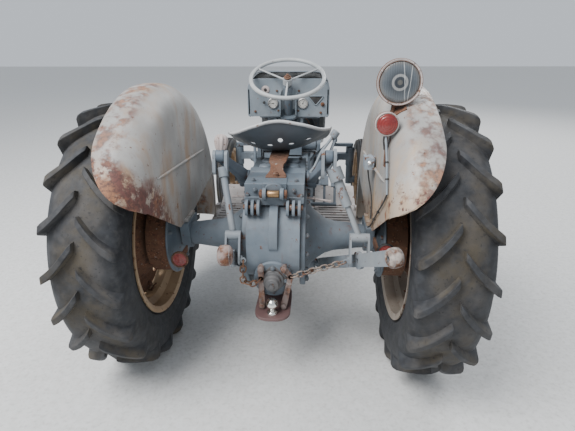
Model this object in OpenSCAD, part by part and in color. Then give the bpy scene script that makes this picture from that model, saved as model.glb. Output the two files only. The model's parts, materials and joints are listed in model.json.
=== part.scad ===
// Small vintage farm tractor, rebuilt piece by piece.
// Millimetres. +X is the tractor's right, +Y its front, +Z up. Every module is drawn from the
// centre of the rear axle; tractor() then stands the model on the ground, centred on its box.

/* [Layout] */
// Distance between the axles
wheelbase = 1778; // [1740:1:1820]
// Distance between the middles of the rear tyres
rear_track = 1320; // [1310:1:1420]
// Distance between the middles of the front tyres
front_track = 1140; // [1120:1:1220]

/* [Rear wheels] */
// Diameter over the lugs
rear_d = 1200; // [1190:1:1216]
// Width of the tyre
rear_w = 284; // [270:1:296]
// Height of the lugs
lug_h = 30; // [20:1:34]
// Lugs on each half of the tread
lug_n = 20; // [16:4:24]
// How far a lug sweeps round the tyre, in degrees
lug_sweep = 13; // [8:1:16]
// Diameter over the rim flanges
rear_rim_d = 756; // [740:1:770]
// Width over the rim flanges
rear_rim_w = 252; // [240:1:264]
// Diameter of the wheel disc
disc_d = 620; // [590:1:630]
// Diameter of the brake drum
drum_d = 360; // [330:1:380]

/* [Front wheels] */
// Diameter of the front tyre
front_d = 690; // [670:1:700]
// Width of the front tyre
front_w = 112; // [100:1:120]
// Diameter over the rim flanges
front_rim_d = 515; // [500:1:525]
// Width over the rim flanges
front_rim_w = 92; // [86:1:98]
// From the kingpin to the middle of the tyre
king_offset = 100; // [96:1:112]
// Diameter of the kingpin
king_d = 34; // [28:1:36]

/* [Axle and gearbox] */
// Half width of the rear housing, where the axle trumpets bolt on
housing_x = 135; // [125:1:140]
// Diameter of the rear housing's barrel
barrel_d = 470; // [450:1:480]
// Diameter of the trumpets
trumpet_d = 144; // [130:1:148]
// Middle of the fender brackets on the trumpets
bracket_x = 420; // [415:1:426]
// Front end of the gearbox, where the engine bolts on
engine_y = 1000; // [980:1:1010]
// Front end of the engine
engine_front_y = 1490; // [1470:1:1500]

/* [Hydraulic lift] */
// Place of the cross shaft, forward of the axle
shaft_y = 70; // [60:1:80]
// Height of the cross shaft over the axle
shaft_z = 250; // [245:1:256]
// Diameter of the cross shaft
shaft_d = 40; // [34:1:44]
// Length of a lift arm between its centres
arm_l = 234; // [220:1:244]
// Angle of the raised arms over the horizontal
arm_up = 40; // [30:1:45]
// Middle of the lift arms, from the centre line
arm_x = 225; // [215:1:235]
// Length of a lower link between its centres
link_l = 768; // [750:1:785]
// From a lower link's front ball to its lift rod, along the link
link_rod = 476; // [462:1:488]
// Bore of the balls at the ends of the lower links
ball_bore = 22.4; // [19:0.1:28.7]

/* [Fenders] */
// Radius of the crown's crest round the rear axle
fender_r = 680; // [672:1:700]
// Thickness of the sheet
fender_t = 3; // [2:0.5:5]
// Width from the inner plate to the crest
fender_crest = 112; // [100:1:120]
// Width from the inner plate to the outer edge
fender_w = 178; // [165:1:185]

/* [Bonnet and dash] */
// Width of the bonnet
bonnet_w = 500; // [480:1:520]
// Height of its top over the axle, at the dash
bonnet_z = 678; // [668:1:690]
// Thickness of the sheet
bonnet_t = 4; // [3:0.5:6]
// Front of the grille
nose_y = 1975; // [1960:1:1990]
// Spacing of the grille bars
bar_step = 22; // [18:1:30]

/* [Steering] */
// Diameter of the steering wheel
wheel_d = 457; // [430:1:470]
// Thickness of its rim
wheel_t = 24; // [20:1:28]
// Tilt of the column from upright
column_tilt = 26; // [24:1:28]
// Length of a drop arm between its centres
drop_l = 200; // [180:1:210]
// Length of the steering arm on top of a kingpin
steer_arm = 130; // [120:1:140]

/* [Seat and lamps] */
// Width of the seat pan
seat_w = 475; // [440:1:490]
// Diameter of the work lamp
lamp_d = 160; // [140:1:170]
// Diameter of the tail lamp
tail_d = 82; // [72:1:88]
// Diameter of the tow ball
tow_d = 50; // [49.5:0.1:50.5]

/* [Hidden] */
$fn = 48;

LEFT = -1;
RIGHT = 1;
run = 0.3;          // running clearance of shafts and pins, on the radius
gap = 0.3;          // clearance between pieces that lie against each other
iron = "slategray";
sheet = "lightsteelblue";

// Places worked out from the driving sizes
rear_axle_y = (rear_d / 2 - front_d / 2 - wheelbase) / 2;
ground_z = -rear_d / 2;
rear_x = rear_track / 2;
front_x = front_track / 2;
front_z = ground_z + front_d / 2;
king_x = front_x - king_offset;
tyre_fn = 40;
drum_x = 478;                       // inner face of the brake drum
hub_x = 566;                        // outer face of the drum, where the disc bolts on
beam_z = -80;                       // underside of the front axle beam
beam_h = 55;
sleeve_h = 150;                     // kingpin sleeve
steer_z = beam_z + beam_h / 2 + sleeve_h / 2 + 22;   // middle of the steering arms
box_y = 950;                        // shaft of the drop arms
box_z = 185;
wheel_y = 814;                      // centre of the steering wheel
wheel_z = 647;
drop_x = 194;                       // middle of the drop arms
hinge_y = 1945;                     // bonnet hinge
cowl_y = 1004;                      // front of the fixed cowl, which the steering wheel reaches over
hinge_z = 22;
shaft_up = box_z + 40;              // height of the drop arms' shafts
pad_z = 75;                         // top of the fender brackets
link_y = 150;                       // front balls of the lower links
link_z = -228;
link_x = 205;
link_pin = 28;
pto_z = -95;
rear_face_y = -252;
plate_z = -240;                     // underside of the drawbar plate
// Lower links as parked: [side, sway to the right and rise in degrees, half width inside the lift rod's fork]
LINKS = [[LEFT, 5.5, 29, 24], [RIGHT, 21.3, 28, 33]];
function link_row(s) = LINKS[s < 0 ? 0 : 1];
function link_dir(s) = let (r = link_row(s))
    [sin(r[1]) * cos(r[2]), -cos(r[1]) * cos(r[2]), sin(r[2])];
function link_at(s, d) = [s * link_x, link_y, link_z] + d * link_dir(s);
function arm_end(s) = [s * arm_x, shaft_y - arm_l * cos(arm_up), shaft_z + arm_l * sin(arm_up)];
function column_at(d) = [0, wheel_y + d * sin(column_tilt), wheel_z - d * cos(column_tilt)];

module tractor() { translate([0, rear_axle_y, -ground_z]) children(); }
module side(s) { if (s > 0) children(); else mirror([1, 0, 0]) children(); }
module both() { children(); mirror([1, 0, 0]) children(); }
module box(x, y, z) { translate([x[0], y[0], z[0]]) cube([x[1] - x[0], y[1] - y[0], z[1] - z[0]]); }
module xrod(d, x, y, z) { translate([x[0], y, z]) rotate([0, 90, 0]) cylinder(d = d, h = x[1] - x[0]); }
module yrod(d, x, y, z) { translate([x, y[0], z]) rotate([-90, 0, 0]) cylinder(d = d, h = y[1] - y[0]); }
module zrod(d, x, y, z) { translate([x, y, z[0]]) cylinder(d = d, h = z[1] - z[0]); }
module ycone(d, x, y, z) { translate([x, y[0], z]) rotate([-90, 0, 0]) cylinder(d1 = d[0], d2 = d[1], h = y[1] - y[0]); }
module xcone(d, x, y, z) { translate([x[0], y, z]) rotate([0, 90, 0]) cylinder(d1 = d[0], d2 = d[1], h = x[1] - x[0]); }
// Stands the children's Z axis along the line from a to b
module aim(a, b) {
    v = b - a;
    translate(a) rotate([0, acos(v[2] / norm(v)), atan2(v[1], v[0])]) children();
}
module bar(a, b, d) { aim(a, b) cylinder(d = d, h = norm(b - a)); }
// A ring turned about the X axis from an outline of [x, radius]
module turned(outline, n = 96) { rotate([0, 90, 0]) rotate([0, 0, 90]) rotate_extrude($fn = n) polygon([for (p = outline) [p[1], p[0]]]); }
// A plate in the YZ plane from x = 0 to t
module side_plate(t) { rotate([90, 0, 90]) linear_extrude(t) children(); }

// Rear tyre: a solid carcass and two staggered rows of swept lugs.
carcass_r = rear_d / 2 - lug_h;
rear_bead_r = (rear_rim_d / 2 - 22 + gap) / cos(180 / tyre_fn);
// Half outline: [share of the half width, radius]
function carcass_half() = [[0, carcass_r], [0.6, carcass_r - 8],
    [0.92, carcass_r - 38], [1, carcass_r - 96], [0.93, rear_rim_d / 2 + 14]];
function rear_outline() = let (h = carcass_half(), w = rear_w / 2, b = rear_rim_w / 2 - 14)
    concat([for (p = h) [p[0] * w, p[1]]], [[b, rear_rim_d / 2 + 6], [b, rear_bead_r]],
        [[-b, rear_bead_r], [-b, rear_rim_d / 2 + 6]],
        [for (i = [len(h) - 1:-1:1]) [-h[i][0] * w, h[i][1]]]);
// Ends of a lug: [share of the half width, share of the sweep, drop of the top, drop of the foot]
LUG = [[0.05, 0, 0, 40], [0.975, 1, 15, 96]];
// Corners of a lug at one of its ends, turned by a round the axle
function lug_corners(row, a) = let (b = a + row[1] * lug_sweep, top = rear_d / 2 - row[2], foot = rear_d / 2 - row[3])
    [for (p = [[-21, foot], [-14, top], [14, top], [21, foot]])
        [row[0] * rear_w / 2, p[0] * cos(b) - p[1] * sin(b), p[0] * sin(b) + p[1] * cos(b)]];
module rear_tyre(s) {
    color("dimgray") translate([s * rear_x, 0, 0]) side(s) {
        turned(rear_outline(), tyre_fn);
        for (k = [0:lug_n - 1], half = [0, 1]) mirror([half, 0, 0])
            hull() polyhedron([for (row = LUG) each lug_corners(row, (k + half / 2) * 360 / lug_n)],
                [[0, 1, 2, 3], [7, 6, 5, 4]]);
    }
}

// Drop-centre rim: flanges, bead seats and a well, of one sheet
function rim_outline(d, w, well, lip, t) = [[-w / 2, d / 2 - lip / 2], [-w / 2, d / 2],
    [-w / 2 + t, d / 2], [-w / 2 + 2 * t, d / 2 - lip], [-w * 0.27, d / 2 - lip - 2],
    [-w * 0.19, d / 2 - well], [w * 0.19, d / 2 - well], [w * 0.27, d / 2 - lip - 2],
    [w / 2 - 2 * t, d / 2 - lip], [w / 2 - t, d / 2], [w / 2, d / 2], [w / 2, d / 2 - lip / 2],
    [w / 2 - t, d / 2 - lip - t], [w * 0.27 + t / 2, d / 2 - lip - 2 - t],
    [w * 0.19 + t / 2, d / 2 - well - t], [-w * 0.19 - t / 2, d / 2 - well - t],
    [-w * 0.27 - t / 2, d / 2 - lip - 2 - t], [-w / 2 + t, d / 2 - lip - t]];
rim_well = 52;
rim_t = 6;
lug_count = 6;
disc_t = 8;
rim_in_r = rear_rim_d / 2 - rim_well - rim_t;
module rear_rim(s) {
    color("peru") translate([s * rear_x, 0, 0]) side(s) {
        turned(rim_outline(rear_rim_d, rear_rim_w, rim_well, 22, rim_t));
        for (k = [0:lug_count - 1]) rotate([k * 360 / lug_count, 0, 0])
            box([disc_t / 2, disc_t / 2 + 34], [-35, 35], [disc_d / 2 - 36, rim_in_r + 3]);
    }
}
// Wheel disc with its hub, brake drum and half shaft
module rear_disc(s) {
    dish = rear_x - hub_x - disc_t / 2;
    color("saddlebrown") side(s) difference() {
        union() {
            translate([hub_x, 0, 0]) turned([[0, 0], [disc_t, 0], [disc_t, 118], [dish + disc_t, 226],
                [dish + disc_t, disc_d / 2], [dish, disc_d / 2], [dish, 232], [0, 124]]);
            xrod(118, [hub_x, hub_x + 52], 0, 0);
            xcone([118, 84], [hub_x + 52, hub_x + 72], 0, 0);
            xrod(drum_d, [drum_x, hub_x], 0, 0);
            xrod(60, [drum_x - 60, drum_x], 0, 0);
        }
        for (k = [0:7]) rotate([k * 45 + 22.5, 0, 0]) xrod(46, [hub_x - 1, hub_x + dish + 20], 0, 268);
    }
}

// Front tyre: three ribs, exact
front_seat_r = front_rim_d / 2 - 16 + gap;
module front_tyre(s) {
    r = front_d / 2;
    w = front_w / 2;
    b = front_rim_w / 2 - 11;
    half = [[0, r], [7, r], [9, r - 9], [17, r - 10], [19, r - 2], [27, r - 3], [29, r - 13],
        [37, r - 15], [38, r - 8], [47, r - 14], [w - 3, r - 32], [w, r - 52], [w - 5, r - 72],
        [b + 5, front_rim_d / 2 + 3], [b, front_rim_d / 2 + 2], [b, front_seat_r]];
    color("dimgray") translate([s * front_x, wheelbase, front_z])
        turned(concat(half, [for (i = [len(half) - 1:-1:1]) [-half[i][0], half[i][1]]]));
}
module front_wheel(s) {
    color("peru") translate([s * front_x, wheelbase, front_z]) side(s) difference() {
        union() {
            turned(rim_outline(front_rim_d, front_rim_w, 34, 16, 5));
            turned([[-6, 0], [0, 0], [0, 70], [18, 150], [18, 222], [12, 222], [12, 152], [-6, 74]]);
            xrod(96, [-52, 0], 0, 0);
            xrod(70, [0, 44], 0, 0);
            xcone([70, 50], [44, 56], 0, 0);
        }
        xrod(38 + 2 * run, [-53, 30], 0, 0);
        for (k = [0:4]) rotate([k * 72, 0, 0]) xrod(34, [-20, 30], 0, 186);
    }
}

// Stub axle, kingpin and steering arm
module knuckle(s) {
    king_top = steer_z + 12;
    color(iron) translate([0, wheelbase, 0]) side(s) {
        zrod(king_d, king_x, 0, [front_z, king_top]);
        zrod(58, king_x, 0, [front_z - 34, beam_z + beam_h / 2 - sleeve_h / 2 - gap]);
        xrod(38, [king_x, front_x + 20], 0, front_z);
        xrod(62, [king_x, front_x - 53], 0, front_z);
        hull() {
            zrod(52, king_x, 0, [steer_z - 12, steer_z + 12]);
            zrod(34, king_x - steer_arm, 0, [steer_z - 12, steer_z + 12]);
        }
        zrod(20, king_x - steer_arm, 0, [steer_z + 12, steer_z + 24]);
    }
}

// Front axle beam with kingpin sleeves and the radius rods
module front_axle() {
    sleeve_z = beam_z + beam_h / 2 - sleeve_h / 2;
    rod_x = 350;
    rod_end = [90, engine_y - 60, gearbox_z - 28 - gap];
    color(iron) difference() {
        union() {
            box([-king_x, king_x], [wheelbase - 32, wheelbase + 32], [beam_z, beam_z + beam_h]);
            both() {
                zrod(70, king_x, wheelbase, [sleeve_z, sleeve_z + sleeve_h]);
                bar([rod_x, wheelbase - 20, beam_z + 12], rod_end, 32);
                translate([rod_x, wheelbase - 40, beam_z + 12]) sphere(d = 56);
                translate(rod_end) sphere(d = 56);
            }
            yrod(90, 0, [wheelbase - 44, wheelbase + 44], beam_z + beam_h / 2);
        }
        both() zrod(king_d + 2 * run, king_x, wheelbase, [sleeve_z - 1, sleeve_z + sleeve_h + 1]);
        both() box([40, king_x - 60], [wheelbase - 24, wheelbase + 24], [beam_z - 1, beam_z + beam_h - 12]);
    }
}

// Casting that carries the radiator and the axle's pivot
module front_support() {
    top = hinge_z;
    floor_z = beam_z + beam_h + 22;
    color(iron) {
        box([-130, 130], [engine_front_y + gap, 1900], [floor_z, top]);
        for (y = [wheelbase - 44 - 36, wheelbase + 44.3]) hull() {
            box([-90, 90], [y, y + 35.4], [floor_z, floor_z + 1]);
            yrod(76, 0, [y, y + 35.4], beam_z + beam_h / 2);
        }
        both() box([92, 150], [engine_front_y + gap, engine_front_y + 30], [-150, floor_z + 4]);
        both() box([-200, -130], [1600, 1680], [top - 20, top]);
        xrod(22, [-215, 215], hinge_y, hinge_z);
        both() box([96, 120], [1900, hinge_y + 14], [floor_z + 8, top + 12]);
    }
}

// Rear housing: barrel round the differential, throat to the gearbox, flange of the power take-off
module rear_housing() {
    color(iron) difference() {
        union() {
            xrod(barrel_d, [-housing_x + 8, housing_x - 8], 0, 0);
            box([-118, 118], [0, 420], [-210, 205]);
            box([-112, 112], [rear_face_y, 0], [-150, 170]);
            both() {
                xrod(340, [housing_x - 22, housing_x], 0, 0);
                box([90, 132], [link_y - 34, link_y + 34], [link_z - 20, -150]);
                xrod(62, [100, link_x - 26], link_y, link_z);
                xrod(link_pin, [100, link_x + 26], link_y, link_z);
                xrod(46, [link_x + 26, link_x + 38], link_y, link_z);
            }
        }
        yrod(20, 0, [rear_face_y - 1, rear_face_y + 12], 60);
    }
}
module lift_cover() {
    top = shaft_z + 22;
    color(iron) difference() {
        union() {
            box([-134, 134], [-150, 330], [205, 236]);
            box([-112, 112], [-128, 300], [236, top]);
            xrod(104, [-arm_x + 36, arm_x - 36], shaft_y, shaft_z);
            for (x = [-48, 48]) hull() for (y = [-90, 150]) translate([x, y, top - 12]) sphere(d = 60, $fn = 32);
        }
        xrod(shaft_d + 2 * run, [-arm_x, arm_x], shaft_y, shaft_z);
        xrod(barrel_d + 2 * gap, [-135, 135], 0, 0);
    }
}
// Axle trumpets with fender brackets and brake back plates
module axle_trumpets() {
    color(iron) both() difference() {
        union() {
            xrod(340, [housing_x, housing_x + 20], 0, 0);
            xcone([230, trumpet_d], [housing_x + 20, housing_x + 40], 0, 0);
            xrod(trumpet_d, [housing_x + 40, drum_x - 12], 0, 0);
            xcone([trumpet_d, 200], [bracket_x + 22, drum_x - 12], 0, 0);
            xrod(drum_d + 16, [drum_x - 12, drum_x - 3], 0, 0);
            box([bracket_x - 24, bracket_x + 22], [-88, 88], [-78, pad_z]);
            zrod(22, bracket_x, -70, [-110, pad_z]);
        }
        xrod(60 + 2 * run, [drum_x - 62, drum_x], 0, 0);
    }
}
gearbox_x = 125;
flare_x = 165;      // half width where the gearbox meets the engine
gearbox_z = -200;   // its underside there
lid_z = 176;
module gearbox() {
    color(iron) {
        box([-gearbox_x, gearbox_x], [420, 780], [-190, 150]);
        hull() {
            box([-gearbox_x, gearbox_x], [780, 800], [-190, 150]);
            box([-flare_x, flare_x], [engine_y - 60, engine_y - 20], [gearbox_z, 165]);
        }
        box([-flare_x - 10, flare_x + 10], [engine_y - 20, engine_y], [-190, 170]);
        box([-90, 90], [450, 620], [150, lid_z]);
    }
}

// Four-cylinder engine, open to view
hose_z = 262;       // top of its water outlet
module engine() {
    y0 = engine_y;
    y1 = engine_front_y;
    bore_step = (y1 - y0 - 60) / 4;
    fan_z = 190;
    color(iron) {
        box([-115, 115], [y0, y1 - 20], [-120, 150]);
        box([-100, 92], [y0 + 12, y1 - 30], [150, 235]);
        hull() {
            box([-66, 60], [y0 + 26, y1 - 44], [235, 250]);
            box([-46, 40], [y0 + 36, y1 - 54], [250, 292]);
        }
        hull() {
            box([-110, 110], [y0, y1 - 20], [-130, -120]);
            box([-80, 80], [y0 + 20, y1 - 60], [-235, -225]);
        }
        box([-140, 140], [y1 - 20, y1], [-150, 170]);
        // water pump, pulley and fan
        yrod(70, 0, [y1, y1 + 34], fan_z);
        yrod(110, 0, [y1 + 34, y1 + 52], fan_z);
        for (k = [0:3]) translate([0, y1 + 58, fan_z]) rotate([0, k * 90 + 20, 0])
            translate([20, 0, 0]) rotate([28, 0, 0]) box([0, 140], [-2, 2], [-28, 28]);
        yrod(60, 0, [y1 + 50, y1 + 66], fan_z);
        yrod(112, 0, [y1, y1 + 40], -90);
        zrod(60, 0, y1 - 4, [fan_z, hose_z]);
        // dynamo and oil filter on the left, starter low on the left
        yrod(110, -180, [y0 + 250, y0 + 430], 90);
        box([-150, -115], [y0 + 290, y0 + 380], [60, 110]);
        yrod(84, -180, [y0 + 430, y1 + 52], 90);
        zrod(86, -165, y0 + 130, [-60, 90]);
        box([-150, -115], [y0 + 100, y0 + 160], [20, 80]);
        yrod(90, -160, [y0, y0 + 190], -95);
        // spark plugs
        for (k = [0:3]) bar([-88, y0 + 45 + (k + 0.5) * bore_step, 215], [-125, y0 + 45 + (k + 0.5) * bore_step, 240], 22);
        // carburettor and air pipe on the right
        zrod(60, 190, y0 + 230, [40, 130]);
        xrod(50, [92, 190], y0 + 230, 110);
        yrod(90, 160, [y0 + 62, y0 + 116], 104);
        bar([186, y0 + 230, 62], [160, y0 + 100, 104], 36);
    }
}
// Manifold, down pipe, silencer and tail pipe
module exhaust() {
    y0 = engine_y;
    bore_step = (engine_front_y - y0 - 60) / 4;
    pipe = 42;
    way = [[140, y0 + 330, 196], [152, y0 + 330, -140], [168, y0 + 170, -292], [180, 760, -292]];
    color("sienna") {
        yrod(52, 140, [y0 + 60, y0 + 400], 196);
        for (k = [0:3]) xrod(40, [92 + gap, 140], y0 + 45 + (k + 0.5) * bore_step, 196);
        for (i = [0:len(way) - 2]) bar(way[i], way[i + 1], pipe);
        for (i = [1:len(way) - 2]) translate(way[i]) sphere(d = pipe + 3);
        yrod(100, 180, [480, 770], -292);
        bar([180, 500, -292], [160, 200, -292], pipe - 2);
        box([96, 140], [600, 620], [-300, -190 - gap]);
    }
}
module radiator() {
    color(iron) {
        box([-205, 205], [1600, 1668], [hinge_z + gap, 420]);
        box([-212, 212], [1592, 1676], [420, 478]);
        box([-212, 212], [1592, 1676], [hinge_z + gap, hinge_z + 50]);
        zrod(64, 0, 1634, [478, 506]);
        zrod(46, 0, engine_front_y - 4, [hose_z + gap, 446]);
        translate([0, engine_front_y - 4, 446]) sphere(d = 50);
        yrod(46, 0, [engine_front_y - 4, 1596], 446);
        yrod(42, 125, [engine_front_y + gap, 1596], 52);
        difference() {
            yrod(352, 0, [1572, 1600], 200);
            yrod(336, 0, [1571, 1601], 200);
        }
    }
}
module fuel_tank() {
    color(sheet) {
        hull() for (y = [engine_y + 60, engine_front_y - 90], x = [-160, 160])
            translate([x, y, 0]) { zrod(80, 0, 0, [380, 381]); zrod(80, 0, 0, [560, 561]); }
        zrod(80, 0, engine_y + 260, [561, 580]);
        both() box([68, 90], [engine_y + 200, engine_y + 240], [235 + gap, 381]);
    }
}

// Fender: flat inner plate, domed crown that runs down in front, and a swage rib
function dome(t) = [for (a = [180:-22.5:0]) [fender_crest + (fender_crest - t) * cos(a) * (a > 90 ? 1 : 0)
    + (fender_w - fender_crest) * cos(a) * (a > 90 ? 0 : 1), a > 90 ? fender_r - 120 - t + 120 * sin(a)
    : fender_r - t - 14 * (1 - sin(a))]];
module fender(s) {
    plate_x = bracket_x;
    inner_r = fender_r - 120;
    rear_a = 150;
    front_a = -14;
    outline = concat([[0, inner_r - 2]], dome(0), [[fender_w, fender_r - 22], [fender_w - fender_t, fender_r - 22]],
        [for (i = [8:-1:0]) let (p = dome(fender_t)[i]) [min(p[0], fender_w - fender_t) , p[1]]], [[fender_t, inner_r - 2]]);
    tip = [-120, pad_z + gap];
    color(sheet) translate([plate_x * s, 0, 0]) side(s) {
        rotate([90, 0, 90]) rotate([0, 0, front_a]) rotate_extrude(angle = rear_a - front_a, $fn = 120)
            polygon([for (p = outline) [p[1], p[0]]]);
        side_plate(fender_t) intersection() {
            circle(r = inner_r + 0.5, $fn = 120);
            polygon([tip, [-700, tip[1] + 580 * tan(30)], [-700, 800], [800, 800], [800, 190], [142, 80],
                [90, tip[1]]]);
        }
        hull() for (p = [[-340, 363], [390, 315]]) translate([0, p[0], p[1]]) sphere(d = 14, $fn = 24);
        box([-16, 20], [-60, 60], [pad_z + gap, 90]);
    }
}

// Footrests beside the gearbox
module footrests() {
    color(sheet) both() {
        box([190, 440], [700, 980], [-140, -134]);
        box([190, 440], [974, 980], [-134, -60]);
        box([gearbox_x + gap, 430], [730, 760], [-160, -140]);
        box([flare_x + gap, 430], [engine_y - 58, engine_y - 28], [-160, -140]);
        box([425, 450], [fender_r + 2, 730], [-160, -110]);
    }
}

// Pressed steel seat pan
module seat() {
    dish_r = 430;
    sheet_t = 4;
    color("slategray") translate([0, 240, 437]) rotate([-8, 0, 0]) difference() {
        intersection() {
            translate([0, 0, dish_r - 66]) difference() {
                sphere(r = dish_r, $fn = 96);
                sphere(r = dish_r - sheet_t, $fn = 96);
            }
            translate([0, 0, -100]) linear_extrude(160) hull() {
                for (x = [-1, 1]) translate([x * (seat_w / 2 - 130), -60]) circle(130, $fn = 64);
                for (x = [-1, 1]) translate([x * (seat_w / 2 - 110), 110]) circle(90, $fn = 64);
            }
        }
        translate([0, -110, -90]) cylinder(d = 34, h = 90);
        for (a = [20:28:160]) rotate([0, 0, -a]) translate([150, 0, -90]) zrod(20, 0, 0, [0, 120]);
    }
}
module seat_bracket() {
    color("saddlebrown") {
        box([-50, 50], [-62, -16], [290 + gap, 297]);
        hull() {
            box([-50, 50], [-28, -22], [290 + gap, 297]);
            box([-50, 50], [12, 18], [360, 367]);
        }
        box([-50, 50], [12, 284], [361, 367]);
    }
}

// Steering box, column and cross shafts
module steering_box() {
    color(iron) difference() {
        union() {
            box([-85, 85], [870, 992], [170 + gap, 290]);
            hull() {
                box([-75, 75], [880, 992], [285, 290]);
                aim(column_at(300), column_at(0)) cylinder(d = 110, h = 8, $fn = 32);
            }
            bar(column_at(300), column_at(60), 54);
            aim(column_at(262), column_at(0)) cylinder(d = 120, h = 14);
            both() xrod(70, [85, drop_x - 18], box_y, shaft_up);
        }
        both() xrod(30 + 2 * run, [100, drop_x], box_y, shaft_up);
        aim(column_at(140), column_at(0)) cylinder(d = 22 + 2 * run, h = 90);
    }
}
module steering_wheel() {
    spokes = [0, 120, 240];
    color("lightgray") aim(column_at(0), column_at(-100)) {
        rotate_extrude($fn = 96) translate([wheel_d / 2 - wheel_t / 2, 0]) circle(d = wheel_t, $fn = 32);
        for (a = spokes) rotate([0, 0, a]) bar([20, 0, -18], [wheel_d / 2 - wheel_t / 2, 0, 0], 11);
        translate([0, 0, -38]) cylinder(d = 56, h = 34);
        translate([0, 0, -4]) cylinder(d = 30, h = 12);
        translate([0, 0, -130]) cylinder(d = 22, h = 100);
    }
}
module drop_arm(s) {
    span = [drop_x - 12, drop_x + 12];
    color(iron) side(s) {
        xrod(30, [104, drop_x], box_y, shaft_up);
        hull() {
            xrod(62, span, box_y, shaft_up);
            xrod(36, span, box_y, shaft_up - drop_l);
        }
    }
}
module drag_link(s) {
    rear = [drop_x + 12 + 1 + 16, box_y, shaft_up - drop_l];
    front = [king_x - steer_arm, wheelbase, steer_z + 24 + gap + 18];
    color(iron) side(s) {
        translate(rear) xrod(40, [-16, 16], 0, 0);
        bar(rear, front, 24);
        zrod(40, front[0], front[1], [front[2] - 18, front[2] + 18]);
    }
}

// Instrument panel on the column, in two halves beside it
module dash() {
    low = 411;
    top = bonnet_z - 44;
    y0 = 885;
    y1 = 930;
    color(sheet) difference() {
        intersection() {
            box([-bonnet_w / 2, bonnet_w / 2], [y0, y1], [low, top]);
            translate([0, y0, 0]) rotate([-90, 0, 0]) linear_extrude(y1 - y0)
                hull() for (x = [-1, 1]) {
                    translate([x * (bonnet_w / 2 - 61), -(top - 60)]) circle(60, $fn = 48);
                    translate([x * (bonnet_w / 2 - 21), -(low + 20)]) circle(20, $fn = 48);
                }
        }
        box([-34, 34], [y0 - 1, y1 + 1], [low - 1, top - 70]);
        aim(column_at(400), column_at(-100)) cylinder(d = 130, h = 600);
        for (x = [-120, 120]) yrod(78, x, [y0 - 1, y0 + 12], 560);
        yrod(40, -150, [y0 - 1, y0 + 20], 612);
    }
    // cowl between the panel and the bonnet
    color(sheet) difference() {
        translate([0, cowl_y, 0]) rotate([90, 0, 0]) linear_extrude(cowl_y - y1 + 8) difference() {
            polygon(bonnet_outline(bonnet_rows(0)[0]));
            polygon(bonnet_outline(bonnet_rows(bonnet_t)[0]));
        }
        box([-300, 300], [y0, cowl_y + 1], [300, low - 7]);
    }
    color("white") for (x = [-120, 120]) difference() {
        yrod(76, x, [y0 - 10, y0 + 12 - gap], 560);
        yrod(66, x, [y0 - 11, y0 - 6], 560);
    }
    color(iron) for (p = [[-175, 560], [190, 560], [-225, 430], [225, 430]]) yrod(16, p[0], [y0 - 16, y0], p[1]);
    // stays from the panel to the steering box
    color(iron) both() box([76, 90], [y1 - 24, y1], [290 + gap, low + 20]);
}

// Cross section of the bonnet: [y, half width, bottom, top, corner radius]
function bonnet_rows(t) = [[932, bonnet_w / 2 - t, 395, bonnet_z - t, 90], [1500, bonnet_w / 2 + 4 - t, 395, bonnet_z - 40 - t, 100],
    [1860, bonnet_w / 2 - 6 - t, 24, bonnet_z - 96 - t, 110], [nose_y - t - 6, bonnet_w / 2 - 70 - t, 60, bonnet_z - 190 - t, 110]];
// Outline of a row: two low corners of radius 30 and two high ones
function corner(x, z, r, a) = [for (i = [0:8]) [x + r * cos(a + i * 90 / 8), z + r * sin(a + i * 90 / 8)]];
function bonnet_outline(r) = concat(corner(r[1] - 30, r[2] + 30, 30, -90), corner(r[1] - r[4], r[3] - r[4], r[4], 0),
    corner(-r[1] + r[4], r[3] - r[4], r[4], 90), corner(-r[1] + 30, r[2] + 30, 30, 180));
module bonnet_body(t) {
    hull() for (r = bonnet_rows(t)) translate([0, r[0] + 3, 0]) rotate([90, 0, 0]) linear_extrude(6) polygon(bonnet_outline(r));
}
module bonnet() {
    lug = [150, 162];
    color(sheet) difference() {
        union() {
            difference() {
                bonnet_body(0);
                bonnet_body(bonnet_t);
                box([-300, 300], [800, cowl_y + 5], [300, 800]);
                box([-300, 300], [900, 1560], [0, 404]);
                box([-300, 300], [1500, nose_y + 20], [0, 28]);
                box([-300, 300], [1700, nose_y - 55], [0, 60]);
                // window of the grille
                box([-185, 185], [1880, nose_y + 20], [70, 470]);
            }
            both() {
                xrod(46, lug, hinge_y, hinge_z);
                box(lug, [hinge_y - 24, hinge_y + 8], [hinge_z, 48]);
            }
        }
        both() xrod(22 + 2 * run, [lug[0] - 1, lug[1] + 1], hinge_y, hinge_z);
    }
}
module grille() {
    color("silver") intersection() {
        difference() { bonnet_body(bonnet_t + gap); bonnet_body(bonnet_t + gap + 14); }
        union() {
            for (x = [-8 * bar_step:bar_step:8 * bar_step]) box([x - 3, x + 3], [1880, nose_y + 10], [56, 484]);
            box([-14, 14], [1880, nose_y + 10], [56, 484]);
            box([-196, 196], [1880, nose_y + 10], [474, 490]);
            box([-196, 196], [1880, nose_y + 10], [48, 66]);
        }
    }
}

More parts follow.
